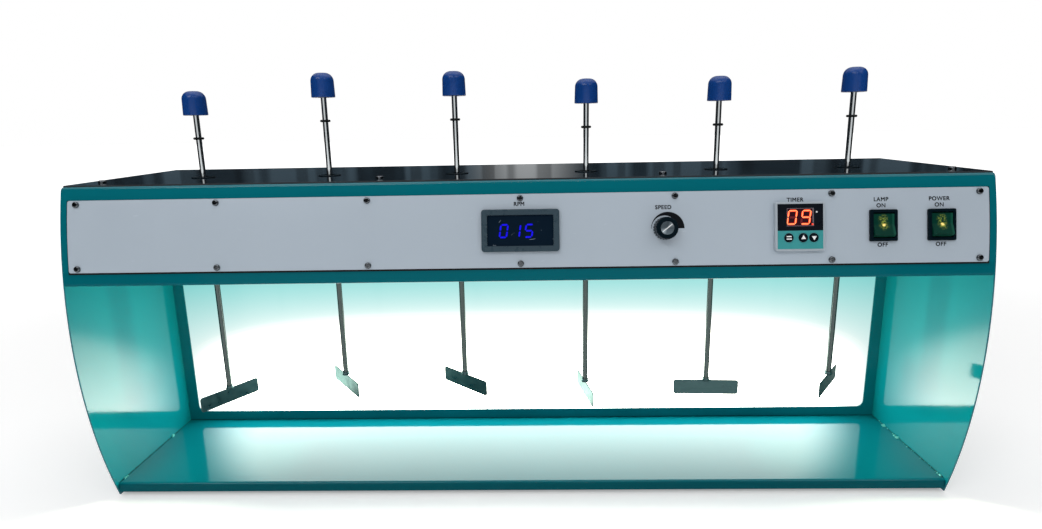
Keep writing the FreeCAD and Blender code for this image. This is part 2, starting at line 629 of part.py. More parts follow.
def head_floor():
    front = bow_y(HEAD_FLOOR_TOP, -SHEET) + BEND
    sheet = box(-INNER, INNER, front, REAR_INSIDE - SHEET, HEAD_FLOOR_BOTTOM, HEAD_FLOOR_TOP)
    for x in STIRRER_X:
        sheet = sheet.cut(post(BUSH_RADIUS, x, STIRRER_Y,
                               HEAD_FLOOR_BOTTOM - PAST, HEAD_FLOOR_TOP + PAST))
    return sheet


def rubber_feet():
    top = FLOOR_TOP - SHEET
    feet = []
    for x in (-HALF_WIDTH + FOOT_INSET_X, HALF_WIDTH - FOOT_INSET_X):
        for y in (FOOT_INSET_Y, BACK - FOOT_INSET_Y):
            foot = Part.makeCone(FOOT_RADIUS - FOOT_TAPER, FOOT_RADIUS, top, Vector(x, y, 0))
            feet.append(foot.cut(post(FOOT_RECESS_RADIUS, x, y, -PAST, FOOT_RECESS_DEPTH)))
    return Part.makeCompound(feet)


# ---------------------------------------------------------------- drive
def bearing_deck():
    """Folded bridge over the head floor that carries the upper bushes and the motor side."""
    deck = box(-DECK_HALF, DECK_HALF, DECK_FRONT, DECK_REAR, HEAD_FLOOR_TOP, DECK_TOP)
    hollow = box(-DECK_HALF - PAST, DECK_HALF + PAST, DECK_FRONT + DECK_THICKNESS,
                 DECK_REAR - DECK_THICKNESS, HEAD_FLOOR_TOP - PAST, DECK_BOTTOM)
    deck = deck.cut(hollow)
    for low, high in ((DECK_FRONT - DECK_FOOT, DECK_FRONT), (DECK_REAR, DECK_REAR + DECK_FOOT)):
        deck = deck.fuse(box(-DECK_HALF, DECK_HALF, low, high, HEAD_FLOOR_TOP,
                             HEAD_FLOOR_TOP + DECK_THICKNESS))
    deck = deck.removeSplitter()
    for x in STIRRER_X:
        deck = deck.cut(post(BUSH_RADIUS, x, STIRRER_Y, DECK_BOTTOM - PAST, DECK_TOP + PAST))
    return deck


def spindle_bushes():
    bushes = []
    flange = BUSH_RADIUS + BUSH_FLANGE_WIDTH
    for x in STIRRER_X:
        upper = post(BUSH_RADIUS, x, STIRRER_Y, DECK_TOP - BUSH_LENGTH, DECK_TOP)
        upper = upper.fuse(post(flange, x, STIRRER_Y, DECK_TOP, DECK_TOP + BUSH_FLANGE))
        lower = post(BUSH_RADIUS, x, STIRRER_Y, HEAD_FLOOR_BOTTOM, HEAD_FLOOR_BOTTOM + BUSH_LENGTH)
        lower = lower.fuse(post(flange, x, STIRRER_Y, LOWER_FLANGE_BOTTOM, HEAD_FLOOR_BOTTOM))
        bore = post(BUSH_BORE, x, STIRRER_Y, SPINDLE_BOTTOM, SPINDLE_TOP)
        bushes += [upper.cut(bore), lower.cut(bore)]
    return Part.makeCompound(bushes)


def top_grommets():
    grommets = []
    for x in STIRRER_X:
        flange = post(GROMMET_NECK_RADIUS + GROMMET_FLANGE_WIDTH, x, STIRRER_Y,
                      COVER_TOP, COVER_TOP + GROMMET_FLANGE)
        rim = edges_at_height(flange, COVER_TOP + GROMMET_FLANGE)
        flange = flange.makeFillet(GROMMET_ROUNDING, rim)
        neck = post(GROMMET_NECK_RADIUS, x, STIRRER_Y, HEAD_TOP, COVER_TOP)
        lip = post(GROMMET_NECK_RADIUS + GROMMET_LIP, x, STIRRER_Y,
                   HEAD_TOP - GROMMET_LIP_HEIGHT, HEAD_TOP)
        bore = post(SPINDLE_RADIUS + GAP, x, STIRRER_Y, DECK_TOP, COVER_TOP + 2 * GROMMET_FLANGE)
        grommets.append(flange.fuse([neck, lip]).cut(bore).removeSplitter())
    return Part.makeCompound(grommets)


def pulley(x, y, bore):
    """Pulley with two round grooves, one for each belt level."""
    body = collar(PULLEY_RADIUS, bore, x, y, PULLEY_BOTTOM, PULLEY_BOTTOM + PULLEY_HEIGHT)
    groove = BELT_RADIUS + GAP
    for level in BELT_LEVELS:
        body = body.cut(Part.makeTorus(BELT_PITCH_RADIUS, groove, Vector(x, y, level)))
        body = body.cut(collar(PULLEY_RADIUS + PAST, BELT_PITCH_RADIUS, x, y,
                               level - groove, level + groove))
    return body


def drive_spindle(x):
    """Hollow spindle with its pulley, the grip ring in its bore and the snap ring below."""
    y = STIRRER_Y
    tube = collar(SPINDLE_RADIUS, SPINDLE_BORE, x, y, SPINDLE_BOTTOM, SPINDLE_TOP)
    grip_top = SPINDLE_TOP - GRIP_BELOW_TOP
    grip_radius = SPINDLE_BORE + GRIP_WALL
    grip = collar(grip_radius, SPINDLE_BORE, x, y, grip_top - GRIP_HEIGHT, grip_top)
    tube = tube.cut(post(grip_radius, x, y, grip_top - GRIP_HEIGHT, grip_top))
    snap = collar(SPINDLE_RADIUS + SNAP_RING_WIDTH, SPINDLE_RADIUS, x, y,
                  SNAP_RING_TOP - SNAP_RING_THICKNESS, SNAP_RING_TOP)
    return Part.makeCompound([tube, pulley(x, y, SPINDLE_RADIUS), grip, snap])


def round_belt(start, end, level):
    """Belt round two pulleys of equal size, with half a turn at each end."""
    run = end.sub(start)
    along = Vector(run).normalize()
    side = Vector(-along.y, along.x, 0).multiply(BELT_PITCH_RADIUS)
    low = Vector(start.x, start.y, level)
    high = Vector(end.x, end.y, level)
    pieces = []
    for offset in (side, Vector(side).negative()):
        pieces.append(Part.makeCylinder(BELT_RADIUS, run.Length, low.add(offset), along))
    for centre, offset in ((low, side), (high, Vector(side).negative())):
        section = Part.Face(Part.Wire(Part.makeCircle(BELT_RADIUS, centre.add(offset), along)))
        pieces.append(section.revolve(centre, Vector(0, 0, 1), 180))
    return pieces[0].fuse(pieces[1:]).removeSplitter()


def drive_belts():
    spots = [Vector(x, STIRRER_Y, 0) for x in STIRRER_X]
    belts = [round_belt(spots[i], spots[i + 1], BELT_LEVELS[i % 2]) for i in range(STIRRERS - 1)]
    motor = Vector(MOTOR_X, MOTOR_Y, 0)
    belts.append(round_belt(spots[0], motor, BELT_LEVELS[1]))
    return Part.makeCompound(belts)


def gear_motor():
    low = HEAD_FLOOR_TOP + MOTOR_CLEARANCE
    gearbox_low = DECK_BOTTOM - MOTOR_GEARBOX_HEIGHT
    motor = post(MOTOR_RADIUS, MOTOR_X, MOTOR_Y, low, gearbox_low)
    gearbox = post(MOTOR_RADIUS + MOTOR_GEARBOX_STEP, MOTOR_X, MOTOR_Y, gearbox_low, DECK_BOTTOM)
    bore = post(MOTOR_SHAFT_RADIUS + SHAFT_CLEARANCE, MOTOR_X, MOTOR_Y,
                DECK_BOTTOM - MOTOR_SHAFT_DEPTH - GAP, DECK_BOTTOM + PAST)
    return motor.fuse(gearbox).cut(bore).removeSplitter()


def motor_bracket():
    """Bridge that hangs the motor at the height of the deck."""
    x0 = MOTOR_X - BRACKET_WIDTH / 2
    x1 = MOTOR_X + BRACKET_WIDTH / 2
    y0 = MOTOR_Y - BRACKET_DEPTH / 2
    y1 = MOTOR_Y + BRACKET_DEPTH / 2
    bridge = box(x0, x1, y0, y1, HEAD_FLOOR_TOP, DECK_TOP)
    bridge = bridge.cut(box(x0 + DECK_THICKNESS, x1 - DECK_THICKNESS, y0 - PAST, y1 + PAST,
                            HEAD_FLOOR_TOP - PAST, DECK_BOTTOM))
    return bridge.cut(post(MOTOR_SHAFT_RADIUS + GAP, MOTOR_X, MOTOR_Y,
                           DECK_BOTTOM - PAST, DECK_TOP + PAST))


def motor_pulley():
    shaft = post(MOTOR_SHAFT_RADIUS, MOTOR_X, MOTOR_Y, DECK_BOTTOM - MOTOR_SHAFT_DEPTH,
                 PULLEY_BOTTOM + PULLEY_HEIGHT)
    return Part.makeCompound([pulley(MOTOR_X, MOTOR_Y, MOTOR_SHAFT_RADIUS), shaft])


# ---------------------------------------------------------------- stirrers
def stirrer_rod(i):
    """Rod with its stop ring."""
    x = STIRRER_X[i]
    rod = post(ROD_RADIUS, x, STIRRER_Y, KNOB_TOP[i] - KNOB_TOP_TO_BLADE,
               KNOB_TOP[i] - KNOB_CROWN)
    ring_at = Vector(x, STIRRER_Y, KNOB_TOP[i] - KNOB_TOP_TO_RING)
    ring = Part.makeTorus(ROD_RADIUS + RING_SECTION, RING_SECTION, ring_at)
    return Part.makeCompound([rod, ring.cut(rod)])


def lift_knob(i):
    x = STIRRER_X[i]
    bottom = KNOB_TOP[i] - KNOB_HEIGHT
    knob = Part.makeCone(KNOB_RADIUS, KNOB_RADIUS - KNOB_TAPER, KNOB_HEIGHT,
                         Vector(x, STIRRER_Y, bottom))
    knob = knob.makeFillet(KNOB_DOME, edges_at_height(knob, KNOB_TOP[i]))
    return knob.cut(post(ROD_RADIUS, x, STIRRER_Y, bottom - PAST, KNOB_TOP[i] - KNOB_CROWN))


def paddle(i):
    """Flat blade with the hub that the rod's end sits in."""
    top = KNOB_TOP[i] - KNOB_TOP_TO_BLADE
    blade = slab(BLADE_WIDTH, BLADE_HEIGHT, -BLADE_THICKNESS / 2, BLADE_THICKNESS / 2,
                 BLADE_CORNER)
    turn = math.radians(TURNED[i])
    middle = Vector(STIRRER_X[i], STIRRER_Y, top - BLADE_HEIGHT / 2)
    blade = placed(blade, middle, Vector(math.cos(turn), math.sin(turn), 0), Vector(0, 0, 1))
    hub = collar(ROD_RADIUS + HUB_WALL, ROD_RADIUS, STIRRER_X[i], STIRRER_Y,
                 top, top + HUB_HEIGHT)
    return blade.fuse(hub).removeSplitter()


# ---------------------------------------------------------------- controls
def rpm_meter():
    bezel = slab(METER_WIDTH, METER_HEIGHT, 0, METER_BEZEL, METER_CORNER)
    bezel = bezel.makeFillet(METER_EDGE, edges_at_height(bezel, METER_BEZEL))
    body = slab(METER_BODY_WIDTH, METER_BODY_HEIGHT, -METER_BODY_DEPTH, 0)
    pocket = slab(METER_WINDOW_WIDTH, METER_WINDOW_HEIGHT,
                  METER_BEZEL - METER_WINDOW_DEPTH, METER_BEZEL + PAST, METER_LENS_CORNER)
    return on_fascia(bezel.fuse(body).cut(pocket).removeSplitter(), METER_X)


def rpm_window():
    low = METER_BEZEL - METER_WINDOW_DEPTH
    lens = slab(METER_WINDOW_WIDTH, METER_WINDOW_HEIGHT, low, low + METER_LENS,
                METER_LENS_CORNER)
    return on_fascia(lens, METER_X)


def hexagon(radius, z0, z1):
    corners = [Vector(radius * math.cos(math.radians(60 * i)),
                      radius * math.sin(math.radians(60 * i)), z0) for i in range(7)]
    return Part.Face(Part.makePolygon(corners)).extrude(Vector(0, 0, z1 - z0))


def panel_inside(width):
    """How far the inside of the head front lies behind the fascia's tangent plane."""
    radius = BOW_RADIUS + FASCIA_THICKNESS
    sag = radius - math.sqrt(radius ** 2 - (width / 2) ** 2)
    return FASCIA_THICKNESS + SHEET + sag


def speed_pot():
    """Potentiometer behind the panel, its threaded bush through it and its nut in front."""
    behind = panel_inside(2 * POT_RADIUS)
    can = Part.makeCylinder(POT_RADIUS, POT_DEPTH, Vector(0, 0, -behind - POT_DEPTH))
    bush = Part.makeCylinder(POT_BUSH_RADIUS, behind + POT_BUSH_HEIGHT, Vector(0, 0, -behind))
    nut = hexagon(POT_NUT_RADIUS, 0, POT_NUT_HEIGHT)
    nut = nut.cut(bush)
    bore_low = -behind - POT_DEPTH / 2
    bore = Part.makeCylinder(POT_SHAFT_RADIUS + SHAFT_CLEARANCE,
                             POT_BUSH_HEIGHT + PAST - bore_low, Vector(0, 0, bore_low))
    pot = can.fuse(bush).cut(bore).removeSplitter()
    return Part.makeCompound([on_fascia(pot, SPEED_X), on_fascia(nut, SPEED_X)])


def speed_knob():
    """Fluted knob with its metal cap, on the potentiometer's shaft."""
    top = SPEED_KNOB_GAP + SPEED_KNOB_HEIGHT
    knob = Part.makeCone(SPEED_KNOB_RADIUS, SPEED_KNOB_RADIUS - SPEED_KNOB_TAPER,
                         SPEED_KNOB_HEIGHT, Vector(0, 0, SPEED_KNOB_GAP))
    knob = knob.makeFillet(SPEED_KNOB_EDGE, edges_at_height(knob, top))
    for i in range(SPEED_FLUTES):
        angle = 2 * math.pi * i / SPEED_FLUTES
        at = Vector(SPEED_KNOB_RADIUS * math.cos(angle), SPEED_KNOB_RADIUS * math.sin(angle), 0)
        knob = knob.cut(Part.makeCylinder(SPEED_FLUTE_RADIUS, top + PAST, at))
    room_top = max(POT_NUT_HEIGHT, POT_BUSH_HEIGHT) + GAP
    room = Part.makeCylinder(POT_NUT_RADIUS + KNOB_ROOM, room_top)
    shaft_low = -panel_inside(2 * POT_RADIUS) - POT_DEPTH / 2 + GAP
    shaft = Part.makeCylinder(POT_SHAFT_RADIUS, top - SPEED_KNOB_CROWN - shaft_low,
                              Vector(0, 0, shaft_low))
    cap = Part.makeCylinder(SPEED_CAP_RADIUS, SPEED_CAP_HEIGHT, Vector(0, 0, top))
    knob = knob.cut(room).cut(shaft)
    return Part.makeCompound([on_fascia(piece, SPEED_X) for piece in (knob, shaft, cap)])


def timer_case():
    bezel = slab(TIMER_SIZE, TIMER_SIZE, 0, TIMER_BEZEL, TIMER_CORNER)
    bezel = bezel.makeFillet(TIMER_EDGE, edges_at_height(bezel, TIMER_BEZEL))
    body = slab(TIMER_BODY_SIZE, TIMER_BODY_SIZE, -TIMER_BODY_DEPTH, 0)
    case = bezel.fuse(body)
    window = slab(TIMER_WINDOW_WIDTH, TIMER_WINDOW_HEIGHT, TIMER_BEZEL - TIMER_WINDOW_DEPTH,
                  TIMER_BEZEL + PAST, TIMER_WINDOW_CORNER, 0, TIMER_WINDOW_RAISE)
    case = case.cut(window)
    for x in BUTTON_X.values():
        well = Part.makeCylinder(BUTTON_RADIUS + GAP / 2, BUTTON_WELL + PAST,
                                 Vector(x, -BUTTON_DROP, TIMER_BEZEL - BUTTON_WELL))
        case = case.cut(well)
    return on_fascia(case.removeSplitter(), TIMER_X)


def timer_button(name):
    low = TIMER_BEZEL - BUTTON_WELL + BUTTON_TRAVEL + GAP
    high = TIMER_BEZEL + BUTTON_PROUD
    button = Part.makeCylinder(BUTTON_RADIUS, high - low, Vector(BUTTON_X[name], -BUTTON_DROP, low))
    return on_fascia(button.makeFillet(BUTTON_EDGE, edges_at_height(button, high)), TIMER_X)


def switch_frame(x):
    width, height = switch_body_size()
    bezel = slab(width + 2 * SWITCH_SIDE_RIM, height + 2 * SWITCH_END_RIM, 0, SWITCH_BEZEL,
                 SWITCH_CORNER)
    bezel = bezel.makeFillet(SWITCH_EDGE, edges_at_height(bezel, SWITCH_BEZEL))
    body = slab(width, height, -SWITCH_BODY_DEPTH, 0)
    well_width = ROCKER_WIDTH + 2 * GAP
    well_height = 2 * (ROCKER_RADIUS + GAP)
    well_low = -ROCKER_SINK - ROCKER_RADIUS - GAP
    well = slab(well_width, well_height, well_low, SWITCH_BEZEL + PAST)
    pin_hole = Part.makeCylinder(ROCKER_PIN_RADIUS + SHAFT_CLEARANCE,
                                 ROCKER_WIDTH + 2 * ROCKER_PIN_LENGTH + GAP,
                                 Vector(-ROCKER_WIDTH / 2 - ROCKER_PIN_LENGTH - GAP / 2, 0,
                                        -ROCKER_SINK), Vector(1, 0, 0))
    frame = bezel.fuse(body).cut(well).cut(pin_hole).removeSplitter()
    return on_fascia(frame, x)


def rocker(x):
    """Rocker in its ON position, upper half pressed in; its pins lie along X."""
    pivot = Vector(0, 0, -ROCKER_SINK)
    drum = Part.makeCylinder(ROCKER_RADIUS, ROCKER_WIDTH,
                             Vector(-ROCKER_WIDTH / 2, 0, -ROCKER_SINK), Vector(1, 0, 0))
    rise = math.tan(math.radians(ROCKER_THROW))
    far = 2 * ROCKER_RADIUS
    above = [Vector(-ROCKER_WIDTH, -far, ROCKER_WAIST + far * rise),
             Vector(-ROCKER_WIDTH, 0, ROCKER_WAIST),
             Vector(-ROCKER_WIDTH, far, ROCKER_WAIST + far * rise),
             Vector(-ROCKER_WIDTH, far, 3 * far),
             Vector(-ROCKER_WIDTH, -far, 3 * far)]
    valley = Part.Face(Part.makePolygon(above + above[:1])).extrude(Vector(2 * ROCKER_WIDTH, 0, 0))
    below = box(-ROCKER_WIDTH, ROCKER_WIDTH, -far, far, -ROCKER_SINK - 2 * far,
                -ROCKER_SINK - ROCKER_SKIRT)
    body = drum.cut(valley).cut(below)
    pins = Part.makeCylinder(ROCKER_PIN_RADIUS, ROCKER_WIDTH + 2 * ROCKER_PIN_LENGTH,
                             Vector(-ROCKER_WIDTH / 2 - ROCKER_PIN_LENGTH, 0, -ROCKER_SINK),
                             Vector(1, 0, 0))
    body = body.fuse(pins).removeSplitter()
    body.rotate(pivot, Vector(1, 0, 0), -ROCKER_THROW)
    return on_fascia(body, x)


# ---------------------------------------------------------------- electrics
def control_board():
    """Power and speed board on four standoffs, with its larger parts."""
    y1 = REAR_INSIDE - BOARD_FROM_REAR
    y0 = y1 - BOARD_WIDTH
    x0 = BOARD_X - BOARD_LENGTH / 2
    x1 = BOARD_X + BOARD_LENGTH / 2
    low = HEAD_FLOOR_TOP + BOARD_STANDOFF
    top = low + BOARD_THICKNESS
    pieces = [box(x0, x1, y0, y1, low, top)]
    for x in (x0 + PART_MARGIN, x1 - PART_MARGIN):
        for y in (y0 + PART_MARGIN, y1 - PART_MARGIN):
            pieces.append(post(BOARD_STANDOFF_RADIUS, x, y, HEAD_FLOOR_TOP, low))
    left = x0 + 2 * PART_MARGIN
    right = x1 - 2 * PART_MARGIN
    front = y0 + PART_MARGIN
    rear = y1 - PART_MARGIN
    length, width, height = TRANSFORMER
    pieces.append(box(left, left + length, front, front + width, top, top + height))
    length, width, height = HEAT_SINK
    pieces.append(box(right - length, right, rear - width, rear, top, top + height))
    length, width, height = TERMINALS
    pieces.append(box(right - length, right, front, front + width, top, top + height))
    for i in range(2):
        x = left + TRANSFORMER[0] + PART_MARGIN + CAPACITOR_RADIUS
        y = front + CAPACITOR_RADIUS + i * (2 * CAPACITOR_RADIUS + CAPACITOR_GAP)
        pieces.append(post(CAPACITOR_RADIUS, x, y, top, top + CAPACITOR_HEIGHT))
    return Part.makeCompound(pieces)


def power_inlet():
    """Three-pin mains inlet; its own Z points out of the rear cover."""
    width = INLET_SOCKET_WIDTH + 2 * INLET_WALL
    height = INLET_SOCKET_HEIGHT + 2 * INLET_WALL
    floor = INLET_FLANGE - INLET_SOCKET_DEPTH
    flange = slab(width + 2 * INLET_RIM, height + 2 * INLET_RIM, 0, INLET_FLANGE, INLET_CORNER)
    body = slab(width, height, floor - INLET_REAR_WALL, 0, INLET_CORNER)
    socket = slab(INLET_SOCKET_WIDTH, INLET_SOCKET_HEIGHT, floor, INLET_FLANGE + PAST,
                  INLET_CORNER)
    inlet = flange.fuse(body).cut(socket)
    width, height, length = INLET_PIN
    half = INLET_PIN_SPACING / 2
    for x, y in ((-half, -INLET_PIN_SHIFT), (half, -INLET_PIN_SHIFT), (0, INLET_PIN_SHIFT)):
        inlet = inlet.fuse(slab(width, height, floor - INLET_PIN_ROOT, floor + length, 0, x, y))
    return on_rear(inlet.removeSplitter(), INLET_X, INLET_Z, BACK)


# ---------------------------------------------------------------- the whole part
def pieces():
    parts = {
        "base_pan": base_pan(),
        "side_panel_left": side_panel(-1),
        "side_panel_right": side_panel(1),
        "window_frame": window_frame(),
        "light_diffuser": light_diffuser(),
        "lamp_tube": lamp_tube(),
        "lamp_holders": lamp_holders(),
        "lamp_ballast": lamp_ballast(),
        "rear_cover": rear_cover(),
        "head_front": head_front(),
        "fascia_plate": fascia_plate(),
        "fascia_screws": fascia_screws(),
        "top_cover": top_cover(),
        "case_screws": case_screws(),
        "head_floor": head_floor(),
        "rubber_feet": rubber_feet(),
        "bearing_deck": bearing_deck(),
        "spindle_bushes": spindle_bushes(),
        "top_grommets": top_grommets(),
        "drive_belts": drive_belts(),
        "gear_motor": gear_motor(),
        "motor_bracket": motor_bracket(),
        "motor_pulley": motor_pulley(),
        "rpm_meter": rpm_meter(),
        "rpm_window": rpm_window(),
        "speed_pot": speed_pot(),
        "speed_knob": speed_knob(),
        "timer_case": timer_case(),
        "switch_frames": Part.makeCompound([switch_frame(LAMP_X), switch_frame(POWER_X)]),
        "lamp_rocker": rocker(LAMP_X),
        "power_rocker": rocker(POWER_X),
        "control_board": control_board(),
        "power_inlet": power_inlet(),
    }
    for name in BUTTON_X:
        parts["timer_%s_button" % name] = timer_button(name)
    for i in range(STIRRERS):
        parts["drive_spindle_%d" % (i + 1)] = drive_spindle(STIRRER_X[i])
        parts["stirrer_rod_%d" % (i + 1)] = stirrer_rod(i)
        parts["lift_knob_%d" % (i + 1)] = lift_knob(i)
        parts["paddle_%d" % (i + 1)] = paddle(i)
    return parts


def main():
    parts = pieces()
    box_of_all = Part.makeCompound(list(parts.values())).BoundBox
    shift = Vector(0, -(box_of_all.YMin + box_of_all.YMax) / 2, 0)
    print("moved back by %.4f so that the origin is the middle of the footprint" % -shift.y)
    os.makedirs("parts", exist_ok=True)
    for name, shape in parts.items():
        shape.translate(shift)
        shape.exportStep("parts/%s.step" % name)


main()
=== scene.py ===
import math
import random

import bmesh
import bpy
from mathutils import Matrix, Vector


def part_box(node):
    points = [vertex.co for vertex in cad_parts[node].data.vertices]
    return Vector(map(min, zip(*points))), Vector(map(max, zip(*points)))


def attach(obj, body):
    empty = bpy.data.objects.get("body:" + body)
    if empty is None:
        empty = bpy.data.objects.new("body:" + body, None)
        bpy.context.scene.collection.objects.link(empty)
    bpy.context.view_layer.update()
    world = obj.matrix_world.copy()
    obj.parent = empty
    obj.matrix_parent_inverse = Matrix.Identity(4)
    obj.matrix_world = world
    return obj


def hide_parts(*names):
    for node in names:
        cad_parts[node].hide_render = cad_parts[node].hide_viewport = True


# Six-place jar tester: the looks round the fixed frame. Metres, +Z up, +Y to the back.

# ------------------------ camera
PICTURE_WIDTH = 1042
FOCAL_PIXELS = 646.7
SENSOR_WIDTH = 36.0
CAMERA_PLACE = Vector((0.0159, -0.7423, 0.4123))
CAMERA_YAW = math.radians(1.44)
CAMERA_PITCH = math.radians(12.62)
CAMERA_ROLL = math.radians(1.06)

# ------------------------ sizes
STIRRERS = range(1, 7)
PANEL_BOW_RADIUS = 0.560    # bow of the side panels
FASCIA_THICKNESS = 0.002
CONTROL_RAISE = 0.0005      # row of controls above the middle of the fascia
CAP_RAISE = 0.0147          # foot of the speed knob's cap above the fascia
INK = 0.00002               # thickness of printed marks
INK_LIFT = 0.00003          # printed marks above what they are printed on
SHARP = math.radians(35)
SAME = 1e-6                 # points nearer than this are one

ROD_RADIUS = 0.003
ROD_END = 0.0004            # chamfer of the rod's ends
KNOB_RADIUS = 0.0127
KNOB_TOP_RADIUS = 0.0120
KNOB_DOME = 0.0085
KNOB_EDGE = 0.0007
KNOB_WELL_RADIUS = 0.0062   # counterbore under the knob
KNOB_WELL_DEPTH = 0.0022
ROD_PAINTED_SHADE_TOP = 0.285         # darker below this height (painted shade), and rougher
RING_RADIUS = 0.0043        # middle of the stop ring's section
RING_SECTION = 0.0013
BLADE_WIDTH = 0.076
BLADE_THICKNESS = 0.0012
BLADE_CORNER = 0.003
BLADE_EDGE = 0.0003
HUB_RADIUS = 0.0038
WELD_RADIUS = 0.0007
WELD_DEPTH = 0.0014         # how far a lump of weld reaches into a side panel

LETTER_SIZE = 0.0054        # font size of the fascia's words
LETTER_BOLD = 0.00023       # outline moved outwards for a bold face
WORD_UP = {"RPM": 0.0262, "SPEED": 0.0208, "TIMER": 0.0262, "LAMP": 0.0254, "POWER": 0.0254,
           "ON": 0.0194, "OFF": -0.0190}   # words above the row of controls
DIGIT_SLANT = math.tan(math.radians(8))
METER_DIGIT = (0.0088, 0.0142, 0.0019)     # width, height and stroke
TIMER_DIGIT = (0.0100, 0.0152, 0.0022)
TIMER_DIGIT_CORE = (0.0088, 0.0140, 0.0010)
SEGMENTS_OF = {"0": "abcdef", "1": "bc", "5": "acdfg", "9": "abcdfg"}
METER_WINDOW_FRONT = 0.0022 # front of the speed display's window above the fascia
TIMER_FRONT = 0.0045        # front of the timer's bezel above the fascia
TIMER_WINDOW_FRONT = 0.0035
TIMER_WINDOW_UP = 0.0090    # middle of the timer's window above the row of controls
BUTTON_UP = -0.0110
BUTTON_AT = {"set": -0.0112, "up": 0.0026, "down": 0.0129}
BUTTON_RAISE = 0.0012       # buttons above the timer's bezel
BUTTON_HOLE_RADIUS = 0.0046
CAP_RADIUS = 0.00645
CAP_HEIGHT = 0.0004

TEAL = (0.001, 0.130, 0.165)
WINDOW_COLOUR = (0.004, 0.011, 0.022)
GLOW_HEIGHT = 0.066         # middle of the glow on the lit panel, above the bench
GLOW_HALF_WIDTH = 0.462     # from there to where the glow ends
GLOW_HALF_HEIGHT = 0.101
GLOW_SQUARENESS = 3.2       # 2 would be an ellipse
GLOW_LEVEL = 9.3            # strength at its foot
LIT_FOLD = -0.04            # middle of the bright band on the cloth behind the case
FLOOR_HALF = 14.0


# ------------------------ frame of the fascia
def middle(node):
    low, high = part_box(node)
    return (low + high) / 2


class Fascia:
    """Places on the bowed fascia: x across the case, up along its surface, out from it."""

    def __init__(self):
        low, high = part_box("fascia_plate")
        self.radius = PANEL_BOW_RADIUS + FASCIA_THICKNESS
        self.centre_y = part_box("side_panel_left")[0].y + PANEL_BOW_RADIUS
        self.centre_z = low.z - math.sqrt(self.radius ** 2 - (self.centre_y - low.y) ** 2)
        row = (low.z + high.z) / 2 + CONTROL_RAISE
        self.tilt = math.asin((row - self.centre_z) / self.radius)

    def wrapped(self, bm, x, up=0.0, out=0.0):
        """A flat shape in X and Y laid round the bow."""
        for vert in bm.verts:
            angle = self.tilt + (up + vert.co.y) / self.radius
            reach = self.radius + out + vert.co.z
            vert.co = Vector((x + vert.co.x,
                              self.centre_y - reach * math.cos(angle),
                              self.centre_z + reach * math.sin(angle)))
        return bm

    def matrix(self, x, up=0.0, out=0.0):
        """Plane that touches the bow at the row of controls; its own Z points outwards."""
        across = Vector((1, 0, 0))
        upward = Vector((0, math.sin(self.tilt), math.cos(self.tilt)))
        outward = across.cross(upward)
        touch = Vector((x, self.centre_y, self.centre_z)) + outward * self.radius
        turn = Matrix((across, upward, outward)).transposed().to_4x4()
        return Matrix.Translation(touch + upward * up + outward * out) @ turn


# ------------------------ shapes
def spun(bm, outline, steps):
    """Solid of revolution about Z from an outline in the shape."""
    bmesh.ops.spin(bm, geom=outline, cent=(0, 0, 0), axis=(0, 0, 1), angle=2 * math.pi,
                   steps=steps, use_merge=True)
    bmesh.ops.remove_doubles(bm, verts=bm.verts, dist=SAME)
    bmesh.ops.recalc_face_normals(bm, faces=bm.faces)
    return bm


def turned(profile, steps=64):
    """Solid of revolution through (radius, height) points."""
    bm = bmesh.new()
    verts = [bm.verts.new((radius, 0, height)) for radius, height in profile]
    edges = [bm.edges.new(pair) for pair in zip(verts, verts[1:])]
    return spun(bm, verts + edges, steps)


def ring_at(radius, height):
    def test(point):
        return abs(point.z - height) < SAME and abs(point.xy.length - radius) < 10 * SAME
    return test


def bevel(bm, edges, width, segments, clamp=False):
    bmesh.ops.bevel(bm, geom=edges, offset=width, segments=segments, profile=0.5,
                    affect="EDGES", material=-1, clamp_overlap=clamp)


def soften(bm, test, width, segments=3):
    """Rounds the edges whose two ends pass the test."""
    edges = [e for e in bm.edges if test(e.verts[0].co) and test(e.verts[1].co)]
    bevel(bm, edges, width, segments, clamp=True)


def torus(radius, section, steps=48, sides=16):
    bm = bmesh.new()
    stand = Matrix.Translation((radius, 0, 0)) @ Matrix.Rotation(math.pi / 2, 4, "X")
    circle = bmesh.ops.create_circle(bm, cap_ends=False, segments=sides, radius=section,
                                     matrix=stand)["verts"]
    return spun(bm, circle + bm.edges[:], steps)


def block(width, height, depth, corner=0.0, edge=0.0):
    """Box on the plane Z = 0 with its upright edges and its upper rim rounded."""
    bm = bmesh.new()
    size = Matrix.Diagonal((width, height, depth, 1.0))
    bmesh.ops.create_cube(bm, size=1.0, matrix=Matrix.Translation((0, 0, depth / 2)) @ size)
    if corner:
        upright = [e for e in bm.edges if abs(e.verts[0].co.z - e.verts[1].co.z) > SAME]
        bevel(bm, upright, corner, 5)
    if edge:
        soften(bm, lambda point: abs(point.z - depth) < SAME, edge)
    return bm


def thicken(bm, depth):
    """Closed solid from a flat shape, by raising it along Z."""
    raised = bmesh.ops.extrude_face_region(bm, geom=bm.faces[:])["geom"]
    bmesh.ops.translate(bm, vec=(0, 0, depth),
                        verts=[g for g in raised if isinstance(g, bmesh.types.BMVert)])
    bmesh.ops.recalc_face_normals(bm, faces=bm.faces)
    return bm


def mesh_of(name, bm):
    """Mesh from a shape, which is used up."""
    mesh = bpy.data.meshes.new(name)
    bm.to_mesh(mesh)
    bm.free()
    return mesh


def placed(name, data):
    """New object in the scene."""
    made = bpy.data.objects.new(name, data)
    bpy.context.scene.collection.objects.link(made)
    return made


def joined(shapes):
    """One shape from several; the given ones are used up."""
    whole = bmesh.new()
    for shape in shapes:
        mesh = mesh_of("shape", shape)
        whole.from_mesh(mesh)
        bpy.data.meshes.remove(mesh)
    return whole


def moved(bm, matrix):
    bm.transform(matrix)
    return bm


